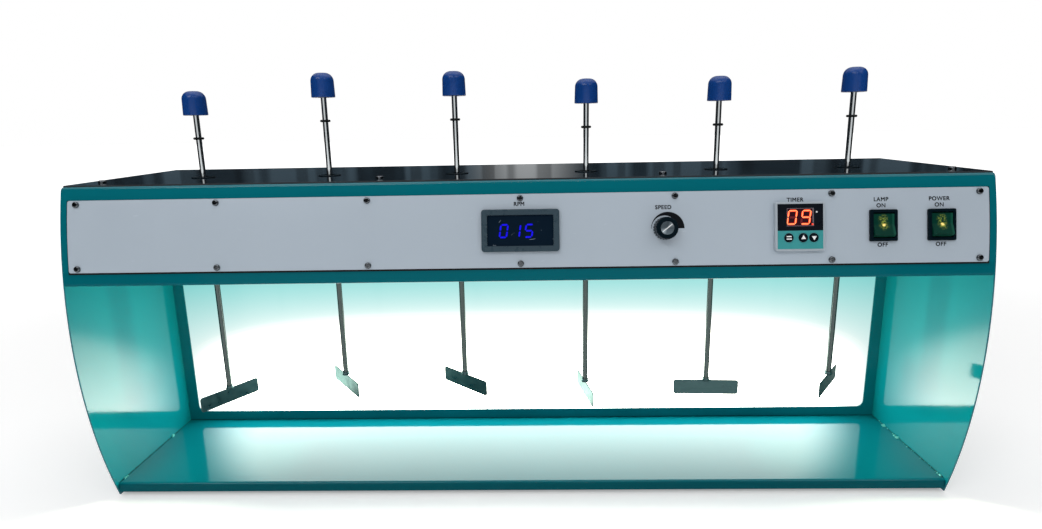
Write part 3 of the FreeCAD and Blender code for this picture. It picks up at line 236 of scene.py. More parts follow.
def put(bm, x, y, z=0):
    return moved(bm, Matrix.Translation((x, y, z)))


def piece(name, bm, finish, body, slot, *replaced):
    """Makes the object, which rides on a body and takes the given finish; the slot is not used.
    """
    mesh = mesh_of(name, bm)
    mesh.polygons.foreach_set("use_smooth", [True] * len(mesh.polygons))
    mesh.set_sharp_from_angle(angle=SHARP)
    mesh.materials.append(finish)
    made = placed(name, mesh)
    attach(made, body)
    if replaced:
        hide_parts(*replaced)
    return made


# ------------------------ finishes
class Finish:
    """A Principled material and the nodes that vary it, all on Object coordinates."""

    def __init__(self, name, colour, roughness, gloss=0.5, **fixed):
        self.material = bpy.data.materials.new(name)
        self.material.use_nodes = True
        self.tree = self.material.node_tree
        self.shader = self.tree.nodes["Principled BSDF"]
        self.set("Base Color", (*colour, 1.0))
        self.set("Roughness", roughness)
        self.set("Specular IOR Level", gloss)
        for socket, value in fixed.items():
            self.set(socket.replace("_", " "), value)
        self.place = self.node("ShaderNodeTexCoord").outputs["Object"]
        self.normal = None

    def set(self, socket, value):
        self.shader.inputs[socket].default_value = value

    def node(self, kind, **settings):
        made = self.tree.nodes.new(kind)
        for key, value in settings.items():
            setattr(made, key, value)
        return made

    def link(self, source, target):
        self.tree.links.new(source, target)

    def feed(self, socket, source):
        self.link(source, self.shader.inputs[socket])

    def stretched(self, scale, centre=(0, 0, 0)):
        """Object coordinates, moved to a centre and stretched."""
        made = self.node("ShaderNodeMapping", vector_type="POINT")
        made.inputs["Scale"].default_value = scale
        made.inputs["Location"].default_value = [-c * s for c, s in zip(centre, scale)]
        self.link(self.place, made.inputs["Vector"])
        return made.outputs["Vector"]

    def noise(self, scale, detail=2.0, rough=0.5, stretch=(1, 1, 1)):
        made = self.node("ShaderNodeTexNoise")
        made.inputs["Scale"].default_value = scale
        made.inputs["Detail"].default_value = detail
        made.inputs["Roughness"].default_value = rough
        self.link(self.stretched(stretch), made.inputs["Vector"])
        return made.outputs["Fac"]

    def cells(self, scale, feature):
        made = self.node("ShaderNodeTexVoronoi", feature=feature)
        made.inputs["Scale"].default_value = scale
        self.link(self.place, made.inputs["Vector"])
        return made.outputs["Distance"]

    def axes(self, vector):
        """The parts X, Y and Z of a vector."""
        made = self.node("ShaderNodeSeparateXYZ")
        self.link(vector, made.inputs[0])
        return made.outputs

    def length(self, vector):
        made = self.node("ShaderNodeVectorMath", operation="LENGTH")
        self.link(vector, made.inputs[0])
        return made.outputs["Value"]

    def spread(self, source, low, high, to_low=0.0, to_high=1.0, smooth=False):
        """Maps the range low to high onto to_low to to_high."""
        made = self.node("ShaderNodeMapRange")
        made.interpolation_type = "SMOOTHSTEP" if smooth else "LINEAR"
        for socket, value in zip(("From Min", "From Max", "To Min", "To Max"),
                                 (low, high, to_low, to_high)):
            made.inputs[socket].default_value = value
        self.link(source, made.inputs["Value"])
        return made.outputs["Result"]

    def maths(self, operation, first, second=0.0):
        made = self.node("ShaderNodeMath", operation=operation)
        for socket, value in zip(made.inputs, (first, second)):
            if isinstance(value, (int, float)):
                socket.default_value = value
            else:
                self.link(value, socket)
        return made.outputs["Value"]

    def mix(self, factor, first, second):
        made = self.node("ShaderNodeMix", data_type="RGBA")
        self.link(factor, made.inputs["Factor"])
        for socket, value in zip((made.inputs[6], made.inputs[7]), (first, second)):
            if isinstance(value, (tuple, list)):
                socket.default_value = (*value[:3], 1.0)
            else:
                self.link(value, socket)
        return made.outputs[2]

    def tint(self, factor, first, second):
        """Base colour between two colours."""
        colour = self.mix(factor, first, second)
        self.feed("Base Color", colour)
        return colour

    def vary(self, socket, source, low, high, to_low, to_high):
        self.feed(socket, self.spread(source, low, high, to_low, to_high))

    def bump(self, height, distance, strength=1.0):
        made = self.node("ShaderNodeBump")
        made.inputs["Distance"].default_value = distance
        made.inputs["Strength"].default_value = strength
        self.link(height, made.inputs["Height"])
        if self.normal:
            self.link(self.normal, made.inputs["Normal"])
        self.normal = made.outputs["Normal"]
        self.feed("Normal", self.normal)

    def round_edges(self, radius):
        """Normals rounded over the edges of folded and cut sheet."""
        made = self.node("ShaderNodeBevel", samples=4)
        made.inputs["Radius"].default_value = radius
        self.normal = made.outputs["Normal"]
        self.feed("Normal", self.normal)


def shade(colour, factor):
    return tuple(min(1.0, c * factor) for c in colour)


def enamel(name, colour, roughness, gloss, axis=None, edge=0.0, painted_shade_factor=1.0):
    """Stove enamel on folded sheet: orange peel, faint waves and wiped dust.

    What lies before the edge along the axis is darker and less glossy: painted shade.
    """
    made = Finish(name, colour, roughness, gloss)
    made.round_edges(0.0006)
    base = made.tint(made.noise(6.0, 3.0), shade(colour, 0.93), shade(colour, 1.07))
    if axis:
        # Painted shade: darker colour and weaker gloss before the edge.
        clear_of_painted_shade = made.spread(made.axes(made.place)[axis], edge + 0.0003, edge + 0.0010)
        made.tint(clear_of_painted_shade, shade(colour, painted_shade_factor), base)
        made.vary("Specular IOR Level", clear_of_painted_shade, 0.0, 1.0, 0.04, gloss)
    made.vary("Roughness", made.noise(22.0, 4.0, 0.6), 0.3, 0.75, roughness * 0.8,
              roughness * 1.6)
    made.bump(made.noise(5.0, 1.0), 0.0008)
    made.bump(made.noise(340.0, 2.0), 0.00003)
    return made.material


def moulded(name, colour, roughness, grain=0.00003, **fixed):
    """Moulded plastic: fine grain, slight change of shade, handled patches."""
    made = Finish(name, colour, roughness, **fixed)
    made.tint(made.noise(45.0, 3.0), shade(colour, 0.9), shade(colour, 1.12))
    made.vary("Roughness", made.noise(90.0, 4.0, 0.6), 0.3, 0.7, roughness * 0.85,
              min(1.0, roughness * 1.25))
    made.bump(made.noise(2600.0, 2.0), grain)
    return made.material


def rolled(name, colour, roughness, stretch, **fixed):
    """Bare metal with the lines of rolling or polishing along one direction."""
    made = Finish(name, colour, roughness, Metallic=1.0, **fixed)
    lines = made.noise(1.0, 3.0, 0.6, stretch)
    made.tint(lines, shade(colour, 0.82), shade(colour, 1.15))
    made.vary("Roughness", lines, 0.3, 0.7, roughness * 0.7, roughness * 1.5)
    made.bump(lines, 0.00001)
    return made.material


def rod_steel():
    """Polished rod; over the length that is dipped it is rougher, and its much darker colour
    there is painted shade.
    """
    # The dark colour below is painted shade.
    bright, painted_shade_steel = (0.50, 0.53, 0.54), (0.080, 0.102, 0.098)
    made = Finish("rod_steel", bright, 0.09, Metallic=1.0, Specular_Tint=(0.05, 0.05, 0.05, 1.0))
    height = made.axes(made.place)["Z"]
    dipped_and_painted_shade = made.spread(height, ROD_PAINTED_SHADE_TOP, ROD_PAINTED_SHADE_TOP + 0.03, 1.0, 0.0)
    lines = made.noise(1.0, 2.0, 0.5, (900.0, 900.0, 14.0))
    above = made.mix(lines, shade(bright, 0.88), shade(bright, 1.1))
    below = made.mix(lines, shade(painted_shade_steel, 0.85), shade(painted_shade_steel, 1.15))
    made.tint(dipped_and_painted_shade, above, below)
    made.vary("Roughness", dipped_and_painted_shade, 0.0, 1.0, 0.07, 0.15)
    return made.material


def blade_steel():
    """Cut sheet, rough, with drying marks; its dark teal-grey colour is painted shade and a
    painted reflection of the teal bay.
    """
    colour = (0.056, 0.103, 0.106)
    made = Finish("blade_steel", colour, 0.32, Metallic=1.0,
                  Specular_Tint=(0.54, 0.60, 0.58, 1.0))
    marks = made.noise(120.0, 3.0, 0.6)
    made.tint(marks, shade(colour, 0.86), shade(colour, 1.16))
    made.vary("Roughness", marks, 0.3, 0.7, 0.26, 0.40)
    made.bump(made.noise(1.0, 2.0, 0.5, (500.0, 500.0, 3000.0)), 0.000003)
    return made.material


def ink(name, colour):
    made = Finish(name, colour, 0.5, gloss=0.1)
    made.tint(made.noise(900.0, 2.0), shade(colour, 0.8), shade(colour, 1.25))
    return made.material


def glowing(name, colour, strength):
    """Lit segment: brighter in patches, as through a diffusing film."""
    made = Finish(name, shade(colour, 0.3), 0.4, gloss=0.1)
    made.set("Emission Color", (*colour, 1.0))
    made.vary("Emission Strength", made.noise(700.0, 1.0), 0.3, 0.7, strength * 0.8,
              strength * 1.2)
    return made.material


def opal_panel():
    """Lit diffuser: a white glow low in the middle, dimmer and tinted outside it."""
    made = Finish("opal_panel", (0.008, 0.010, 0.010), 0.18, gloss=0.3)
    part = made.axes(made.stretched((1 / GLOW_HALF_WIDTH, 1.0, 1 / GLOW_HALF_HEIGHT),
                                    (-0.003, 0.0, GLOW_HEIGHT)))
    across, up = (made.maths("POWER", made.maths("ABSOLUTE", part[axis]), GLOW_SQUARENESS)
                  for axis in ("X", "Z"))
    away = made.maths("POWER", made.maths("ADD", across, up), 1 / GLOW_SQUARENESS)
    fade = made.maths("POWER", made.spread(away, 1.0, 1.55), 0.5)
    hot = made.spread(away, 0.80, 1.0)
    near = made.mix(hot, (1.0, 1.0, 0.90), (0.88, 1.0, 0.97))
    made.feed("Emission Color", made.mix(fade, near, (0.24, 0.67, 0.65)))
    upwards = made.spread(part["Z"], -0.36, 0.98, GLOW_LEVEL, 0.15)
    inside = made.spread(away, 0.80, 1.0, 1.0, 0.0, smooth=True)
    ends = made.spread(across, 0.3, 1.0, 1.03, 0.92)
    made.feed("Emission Strength",
              made.maths("ADD", made.maths("MULTIPLY", upwards, inside), ends))
    made.bump(made.noise(900.0, 1.0), 0.00001)
    return made.material


def dark_lid():
    """Glossy charcoal lid with wiped streaks; the lighter upright bands in its colour are partly
    a painted reflection.
    """
    colour = (0.008, 0.014, 0.019)
    made = Finish("charcoal_gloss", colour, 0.08, gloss=0.25)
    made.round_edges(0.0005)
    # Bands of lighter colour: partly wiped streaks, partly a painted reflection.
    bands = made.noise(1.0, 2.0, 0.5, (14.0, 0.6, 1.0))
    made.tint(made.spread(bands, 0.35, 0.68), shade(colour, 0.7), shade(colour, 1.6))
    made.vary("Roughness", made.noise(16.0, 4.0, 0.65), 0.3, 0.75, 0.025, 0.07)
    made.bump(made.noise(4.0, 1.0), 0.0002)
    return made.material


def printed_plate():
    """Satin fascia film with a faint drift of shade and small scuffs."""
    colour = (0.395, 0.460, 0.530)
    made = Finish("fascia_satin", colour, 0.42)
    made.round_edges(0.0004)
    drift = made.noise(3.5, 2.0)
    base = made.mix(drift, shade(colour, 0.92), shade(colour, 1.07))
    scuffs = made.spread(made.noise(1.0, 3.0, 0.7, (60.0, 60.0, 260.0)), 0.70, 0.80)
    made.tint(made.maths("MULTIPLY", scuffs, 0.4), base, (0.60, 0.66, 0.72))
    made.vary("Roughness", made.noise(30.0, 4.0, 0.6), 0.3, 0.7, 0.34, 0.52)
    made.bump(made.noise(1500.0, 2.0), 0.00002)
    return made.material


def smoked_window():
    """Dark display window with a few fine scratches."""
    made = Finish("smoked_window", WINDOW_COLOUR, 0.06, gloss=0.08)
    scratch = made.spread(made.cells(70.0, "DISTANCE_TO_EDGE"), 0.0, 0.030, 1.0, 0.0)
    few = made.spread(made.noise(110.0, 2.0), 0.60, 0.68)
    mark = made.maths("MULTIPLY", scratch, few)
    made.tint(mark, WINDOW_COLOUR, (0.20, 0.25, 0.30))
    made.vary("Roughness", mark, 0.0, 1.0, 0.06, 0.5)
    return made.material


def lit_rocker(name, node):
    """Green translucent rocker with its lamp and worn mark shining through above the middle."""
    low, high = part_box(node)
    spot = (low + high) / 2
    spot.y = low.y
    spot.z += 0.0015
    colour = (0.002, 0.033, 0.022)
    made = Finish(name, colour, 0.30, gloss=0.03)

    def distance(stretch, centre):
        return made.length(made.stretched(stretch, centre))

    core = made.spread(distance((1.0, 0.2, 1.3), spot), 0.0007, 0.0028, 1.0, 0.0, smooth=True)
    halo = made.spread(distance((1.0, 0.2, 1.0), spot), 0.0012, 0.0062, 1.0, 0.0, smooth=True)
    upper = made.spread(distance((1.0, 0.1, 1.0), spot + Vector((-0.0008, 0, 0.0052))),
                        0.0020, 0.0058, 1.0, 0.0, smooth=True)
    flecks = made.spread(made.noise(620.0, 3.0, 0.6), 0.46, 0.58)
    patchy = made.maths("MULTIPLY", made.maths("MAXIMUM", upper, halo), flecks)
    soft = made.maths("MULTIPLY", halo, 0.04)
    glow = made.mix(core, (0.26, 0.30, 0.03), (1.0, 0.66, 0.20))
    made.feed("Emission Color", glow)
    strength = made.maths("ADD", made.maths("MULTIPLY", core, 1.4),
                          made.maths("ADD", made.maths("MULTIPLY", patchy, 0.72), soft))
    made.feed("Emission Strength", strength)
    part = made.axes(made.stretched((1.0, 1.0, 0.85),
                                    (low + high) / 2 + Vector((-0.0014, 0, 0.0018))))
    aside, above = (made.maths("ABSOLUTE", part[axis]) for axis in ("X", "Z"))
    inside = made.spread(made.maths("MAXIMUM", aside, above), 0.0086, 0.0098)
    dark = made.mix(made.noise(160.0, 2.0), shade(colour, 0.8), shade(colour, 1.3))
    made.tint(inside, dark, (0.007, 0.068, 0.045))
    made.bump(made.noise(600.0, 2.0), 0.00002)
    return made.material


def turned_cap(name, node):
    """Aluminium cap with the fine rings of facing and a painted highlight: a bright streak along
    its pointer.
    """
    spot = Fascia().matrix(middle(node).x, 0.0, CAP_RAISE).translation
    made = Finish(name, (0.24, 0.26, 0.28), 0.30, Metallic=1.0)
    place = made.stretched((1, 1, 1), spot)
    away = made.length(place)
    part = made.axes(place)
    across = made.maths("SUBTRACT", made.maths("MULTIPLY", part["Z"], 0.79),
                        made.maths("MULTIPLY", part["X"], 0.62))
    painted_highlight_streak = made.spread(made.maths("DIVIDE", made.maths("ABSOLUTE", across), away),
                         0.10, 0.62, 1.0, 0.0)
    rings = made.node("ShaderNodeTexNoise", noise_dimensions="1D")
    rings.inputs["Scale"].default_value = 4200.0
    made.link(away, rings.inputs["W"])
    faced = made.mix(rings.outputs["Fac"], (0.055, 0.080, 0.100), (0.19, 0.235, 0.265))
    made.tint(painted_highlight_streak, faced, (0.40, 0.47, 0.52))
    made.bump(rings.outputs["Fac"], 0.00002)
    return made.material


# ------------------------ dressing of the CAD nodes
def finishes():
    """Every finish by name."""
    return {
        "teal": enamel("teal_enamel", TEAL, 0.065, 0.34),
        # The front lip of the pan and the band of the head below the fascia get painted shade.
        "teal_lip_painted_shade": enamel("teal_enamel_lip_painted_shade", TEAL, 0.065, 0.27, "Y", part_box("base_pan")[0].y,
                           0.60),
        "teal_head_painted_shade": enamel("teal_enamel_head_painted_shade", TEAL, 0.065, 0.27, "Z",
                            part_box("fascia_plate")[0].z - 0.001, 0.88),
        # Enamel on the welds is lighter than the case's: a painted highlight.
        "weld": enamel("enamel_on_weld_painted_highlight", (0.070, 0.340, 0.340), 0.12, 0.20),
        "lid": dark_lid(),
        "plate": printed_plate(),
        "screw": rolled("dark_screw", (0.10, 0.11, 0.12), 0.12, (300.0, 300.0, 300.0)),
        "zinc": rolled("zinc_sheet", (0.52, 0.53, 0.54), 0.34, (12.0, 260.0, 260.0)),
        "steel": rod_steel(),
        "spindle": rolled("spindle_steel", (0.34, 0.37, 0.38), 0.14, (900.0, 900.0, 14.0)),
        "blade": blade_steel(),
        "bronze": rolled("sintered_bronze", (0.55, 0.36, 0.17), 0.42, (700.0, 700.0, 700.0)),
        "black": moulded("black_plastic", (0.001, 0.006, 0.010), 0.24, gloss=0.07),
        "bezel": moulded("grey_bezel", (0.032, 0.056, 0.074), 0.28, gloss=0.18),
        "timer": moulded("pale_bezel", (0.36, 0.41, 0.46), 0.40, gloss=0.3),
        "blue": moulded("blue_knob_plastic", (0.001, 0.042, 0.212), 0.26, 0.00001, gloss=0.30),
        "white": moulded("white_plastic", (0.74, 0.75, 0.75), 0.35),
        "rubber": moulded("black_rubber", (0.004, 0.005, 0.006), 0.62, 0.00006, gloss=0.15),
        "opal": opal_panel(),
        "tube": glowing("lamp_glass", (0.95, 1.0, 0.98), 3.0),
        "window": smoked_window(),
        "motor": rolled("motor_can", (0.30, 0.31, 0.32), 0.40, (200.0, 200.0, 900.0)),
        "board": moulded("green_board", (0.012, 0.11, 0.04), 0.45),
        "ink": ink("black_ink", (0.002, 0.003, 0.005)),
        "pale_ink": ink("pale_ink", (0.82, 0.86, 0.88)),
        "face_black": moulded("timer_black", (0.002, 0.004, 0.008), 0.30, 0.00001, gloss=0.12),
        "face_teal": moulded("timer_teal", (0.040, 0.28, 0.29), 0.38, 0.00001, gloss=0.2),
        "blue_lit": glowing("blue_segment", (0.008, 0.004, 1.0), 0.58),
        "red_lit": glowing("red_segment", (1.0, 0.060, 0.018), 1.25),
        "red_core": glowing("red_segment_core", (1.0, 0.26, 0.10), 1.7),
        "red_dark": ink("dark_red_segment", (0.150, 0.014, 0.020)),
        "red_window": moulded("red_window", (0.030, 0.004, 0.010), 0.20, 0.00001, gloss=0.15),
        "red_rim": ink("window_rim", (0.24, 0.17, 0.20)),
        "contact": rolled("nickel_contact", (0.55, 0.52, 0.44), 0.25, (300.0, 300.0, 900.0)),
        "cap": turned_cap("faced_aluminium_painted_highlight", "speed_knob"),
        "seam": ink("seam_shadow", (0.001, 0.030, 0.034)),
    }


FINISH_OF_NODE = {
    "base_pan": "teal_lip_painted_shade", "side_panel_left": "teal", "side_panel_right": "teal",
    "window_frame": "teal", "rear_cover": "teal", "head_front": "teal_head_painted_shade",
    "light_diffuser": "opal", "lamp_tube": "tube", "lamp_holders": "white",
    "lamp_ballast": "white", "fascia_plate": "plate", "fascia_screws": "screw",
    "top_cover": "lid", "case_screws": "screw", "head_floor": "zinc",
    "rubber_feet": "rubber", "bearing_deck": "zinc", "spindle_bushes": "bronze",
    "top_grommets": "black", "drive_belts": "rubber", "gear_motor": "motor",
    "motor_bracket": "zinc", "motor_pulley": "black", "rpm_meter": "bezel",
    "rpm_window": "window", "speed_pot": "zinc", "speed_knob": "black",
    "timer_case": "timer", "switch_frames": "black", "control_board": "board",
    "power_inlet": "black", "timer_set_button": "black", "timer_up_button": "black",
    "timer_down_button": "black",
}


def dress_nodes(look):
    chosen = dict(FINISH_OF_NODE)
    for i in STIRRERS:
        chosen["drive_spindle_%d" % i] = "spindle"
    for name, key in chosen.items():
        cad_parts[name].material_slots[0].material = look[key]
    for name in ("lamp_rocker", "power_rocker"):
        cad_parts[name].material_slots[0].material = lit_rocker(name + "_green", name)


# ------------------------ stirrers
def blade_turn(node, axis):
    """Angle of a paddle's blade about its rod, from the spread of its points."""
    offsets = [v.co.xy - axis.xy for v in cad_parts[node].data.vertices]
    xx = sum(p.x * p.x for p in offsets)
    yy = sum(p.y * p.y for p in offsets)
    xy = sum(p.x * p.y for p in offsets)
    return 0.5 * math.atan2(2 * xy, xx - yy)


def lift_knob(i, axis, look):
    low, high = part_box("lift_knob_%d" % i)
    height = high.z - low.z
    slope = (KNOB_TOP_RADIUS - KNOB_RADIUS) / height
    bm = turned([(ROD_RADIUS, KNOB_WELL_DEPTH), (KNOB_WELL_RADIUS, KNOB_WELL_DEPTH),
                 (KNOB_WELL_RADIUS, 0.0), (KNOB_RADIUS, 0.0),
                 (KNOB_RADIUS + slope * 2 * KNOB_EDGE, 2 * KNOB_EDGE),
                 (KNOB_TOP_RADIUS, height), (0.0, height)])
    soften(bm, ring_at(KNOB_TOP_RADIUS, height), KNOB_DOME, 10)
    soften(bm, ring_at(KNOB_RADIUS, 0.0), KNOB_EDGE)
    soften(bm, ring_at(KNOB_WELL_RADIUS, 0.0), KNOB_EDGE / 2)
    put(bm, axis.x, axis.y, low.z)
    piece("knob_%d" % i, bm, look["blue"], "stirrer_%d" % i, "blue_plastic",
          "lift_knob_%d" % i)


def rod(i, axis, look):
    low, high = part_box("stirrer_rod_%d" % i)
    length = high.z - low.z
    bm = turned([(0.0, 0.0), (ROD_RADIUS, 0.0), (ROD_RADIUS, 3 * ROD_END),
                 (ROD_RADIUS, length - 3 * ROD_END), (ROD_RADIUS, length), (0.0, length)], 48)
    soften(bm, ring_at(ROD_RADIUS, 0.0), ROD_END, 2)
    soften(bm, ring_at(ROD_RADIUS, length), ROD_END, 2)
    put(bm, axis.x, axis.y, low.z)
    piece("rod_%d" % i, bm, look["steel"], "stirrer_%d" % i, "stainless",
          "stirrer_rod_%d" % i)


def stop_ring(i, axis, look):
    ring = [v.co.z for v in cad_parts["stirrer_rod_%d" % i].data.vertices
            if (v.co.xy - axis.xy).length > RING_RADIUS]
    bm = torus(RING_RADIUS, RING_SECTION)
    put(bm, axis.x, axis.y, (min(ring) + max(ring)) / 2)
    piece("stop_ring_%d" % i, bm, look["rubber"], "stirrer_%d" % i, "belt_rubber")


def paddle(i, axis, look):
    node = "paddle_%d" % i
    low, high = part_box(node)
    blade_top = max(v.co.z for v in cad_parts[node].data.vertices
                    if (v.co.xy - axis.xy).length > 2 * HUB_RADIUS)
    height = blade_top - low.z
    blade = block(BLADE_WIDTH, height, BLADE_THICKNESS, BLADE_CORNER)
    flat_rims = [e for e in blade.edges if e.verts[0].co.z == e.verts[1].co.z]
    bevel(blade, flat_rims, BLADE_EDGE, 1)
    moved(blade, Matrix.Translation((0, 0, low.z + height / 2))
          @ Matrix.Rotation(math.pi / 2, 4, "X")
          @ Matrix.Translation((0, 0, -BLADE_THICKNESS / 2)))
    hub = turned([(ROD_RADIUS, blade_top), (HUB_RADIUS, blade_top), (HUB_RADIUS, high.z),
                  (ROD_RADIUS, high.z)], 40)
    soften(hub, ring_at(HUB_RADIUS, high.z), 0.0003, 2)
    weld = put(torus(HUB_RADIUS, WELD_RADIUS, 40, 10), 0, 0, blade_top)
    rng = random.Random(i)
    for vert in weld.verts:
        vert.co.z += rng.uniform(-0.00012, 0.00012)
    whole = joined([blade, hub, weld])
    turn = Matrix.Rotation(blade_turn(node, axis), 4, "Z")
    moved(whole, Matrix.Translation((axis.x, axis.y, 0)) @ turn)
    piece("blade_%d" % i, whole, look["blade"], "stirrer_%d" % i, "stainless", node)


def stirrers(look):
    for i in STIRRERS:
        axis = middle("drive_spindle_%d" % i)
        lift_knob(i, axis, look)
        rod(i, axis, look)
        stop_ring(i, axis, look)
        paddle(i, axis, look)


# ------------------------ printed marks
def embolden(bm, width):
    """Moves the rim of a flat shape that faces up outwards."""
    shifts = {}
    for edge in bm.edges:
        if edge.is_boundary:
            loop = edge.link_loops[0]
            along = loop.link_loop_next.vert.co - loop.vert.co
            out = Vector((along.y, -along.x, 0)).normalized()
            for vert in edge.verts:
                shifts[vert] = shifts.get(vert, Vector((0, 0, 0))) + out
    for vert, shift in shifts.items():
        vert.co += shift.normalized() * width


def letters(words):
    """Flat words centred on the origin, a film of ink thick."""
    curve = bpy.data.curves.new("words", "FONT")
    curve.body = words
    curve.size = LETTER_SIZE
    curve.align_x = "CENTER"
    curve.align_y = "CENTER"
    curve.space_character = 1.12
    holder = placed("words", curve)
    bpy.context.view_layer.update()
    mesh = bpy.data.meshes.new_from_object(holder)
    bm = bmesh.new()
    bm.from_mesh(mesh)
    bmesh.ops.remove_doubles(bm, verts=bm.verts, dist=SAME)
    bpy.data.objects.remove(holder)
    bpy.data.curves.remove(curve)
    bpy.data.meshes.remove(mesh)
    embolden(bm, LETTER_BOLD)
    return thicken(bm, INK)


def crescent():
    """Speed scale: a wedge over the knob that swells clockwise."""
    inner, outer, shift = 0.0128, 0.0164, 0.0032
    bm = bmesh.new()
    for centre, radius in ((0.0, inner), (shift, outer)):
        start = bm.verts.new((centre - radius, 0, 0))
        bmesh.ops.spin(bm, geom=[start], cent=(centre, 0, 0), axis=(0, 0, 1),
                       angle=-math.pi, steps=40)
    bmesh.ops.bridge_loops(bm, edges=bm.edges[:])
    return thicken(bm, INK)


def fascia_print(look, fascia):
    words = [("RPM", "rpm_meter", -0.001), ("SPEED", "speed_knob", -0.001),
             ("TIMER", "timer_case", -0.003)]
    for name, rocker in (("LAMP", "lamp_rocker"), ("POWER", "power_rocker")):
        words += [(name, rocker, -0.0015), ("ON", rocker, -0.0015), ("OFF", rocker, 0.0)]
    shapes = [fascia.wrapped(letters(word), middle(node).x + aside, WORD_UP[word], INK_LIFT)
              for word, node, aside in words]
    piece("fascia_words", joined(shapes), look["ink"], "case", "black_plastic")
    scale = fascia.wrapped(crescent(), middle("speed_knob").x, 0.0, INK_LIFT)
    piece("speed_scale", scale, look["ink"], "case", "black_plastic")


def fascia_painted_shadow(look, fascia):
    """Black strip round the rim of the fascia plate, widest below it: the plate's painted
    shadow.
    """
    low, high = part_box("fascia_plate")

    def up_at(height):
        angle = math.asin((height - fascia.centre_z) / fascia.radius)
        return (angle - fascia.tilt) * fascia.radius

    bottom, top, side = up_at(low.z), up_at(high.z), high.x
    # Widths of the painted shadow below, beside and above the plate, and its thickness.
    below, beside, above, thick = 0.0018, 0.0012, 0.0004, 0.0010
    strips = [fascia.wrapped(block(2 * side, width, thick), 0.0, middle_up, -FASCIA_THICKNESS)
              for width, middle_up in ((below, bottom - below / 2), (above, top + above / 2))]
    for sign in (-1, 1):
        strip = block(beside, top - bottom + below + above, thick)
        upright = [e for e in strip.edges if abs(e.verts[0].co.y - e.verts[1].co.y) > SAME]
        bmesh.ops.subdivide_edges(strip, edges=upright, cuts=11, use_grid_fill=True)
        strips.append(fascia.wrapped(strip, sign * (side + beside / 2),
                                     (top + above + bottom - below) / 2, -FASCIA_THICKNESS))
    piece("fascia_painted_shadow", joined(strips), look["rubber"], "case", "black_plastic")


# ------------------------ displays
def bar(start, end, width, depth):
    """Segment of a digit: a flat bar with pointed ends."""
    along = end - start
    length = along.length
    bm = bmesh.new()
    half = width / 2
    outline = [(0, 0), (half, -half), (length - half, -half), (length, 0),
               (length - half, half), (half, half)]
    bm.faces.new([bm.verts.new((x, y, 0)) for x, y in outline])
    turn = Matrix.Rotation(math.atan2(along.y, along.x), 4, "Z")
    return moved(thicken(bm, depth), Matrix.Translation((start.x, start.y, 0)) @ turn)


def digit(character, x, y, width, height, stroke, depth):
    """Lit and dark segments of a seven-segment digit centred on x, y."""
    w, h = (width - stroke) / 2, (height - stroke) / 2
    corner = {"tl": (-w, h), "tr": (w, h), "ml": (-w, 0), "mr": (w, 0), "bl": (-w, -h),
              "br": (w, -h)}
    ends = {"a": ("tl", "tr"), "b": ("mr", "tr"), "c": ("br", "mr"), "d": ("bl", "br"),
            "e": ("bl", "ml"), "f": ("ml", "tl"), "g": ("ml", "mr")}
    gap = stroke * 0.16
    lit, dark = [], []
    for name, (first, last) in ends.items():
        start, end = Vector(corner[first]), Vector(corner[last])
        step = (end - start).normalized() * gap
        shape = bar(start + step, end - step, stroke * 0.9, depth)
        for vert in shape.verts:
            vert.co.x += vert.co.y * DIGIT_SLANT
        put(shape, x, y)
        (lit if name in SEGMENTS_OF[character] else dark).append(shape)
    return lit, dark


def digits(text, place, pitch, first, drop, size, depth=0.0001):
    """Lit and dark shapes of a row of digits; place is the matrix of what they lie on."""
    width, height, stroke = size
    lit, dark = [], []
    for i, character in enumerate(text):
        on, off = digit(character, first + i * pitch, drop, width, height, stroke, depth)
        lit += on
        dark += off
    return moved(joined(lit), place), moved(joined(dark), place)


def meter_display(look, fascia):
    place = fascia.matrix(middle("rpm_window").x, 0.0, METER_WINDOW_FRONT + INK_LIFT)
    lit, dark = digits("015", place, 0.0125, -0.0164, -0.0004, METER_DIGIT)
    dark.free()
    piece("meter_digits", lit, look["blue_lit"], "case", "display_window")


def frame_round(width, height, hole_width, hole_height, hole_up, depth):
    """Plate with a rectangular hole."""
    bm = bmesh.new()
    for w, h, up in ((width, height, 0.0), (hole_width, hole_height, hole_up)):
        corners = [bm.verts.new((x * w / 2, up + y * h / 2, 0))
                   for x, y in ((-1, -1), (1, -1), (1, 1), (-1, 1))]
        for pair in zip(corners, corners[1:] + corners[:1]):
            bm.edges.new(pair)
    bmesh.ops.bridge_loops(bm, edges=bm.edges[:])
    return thicken(bm, depth)


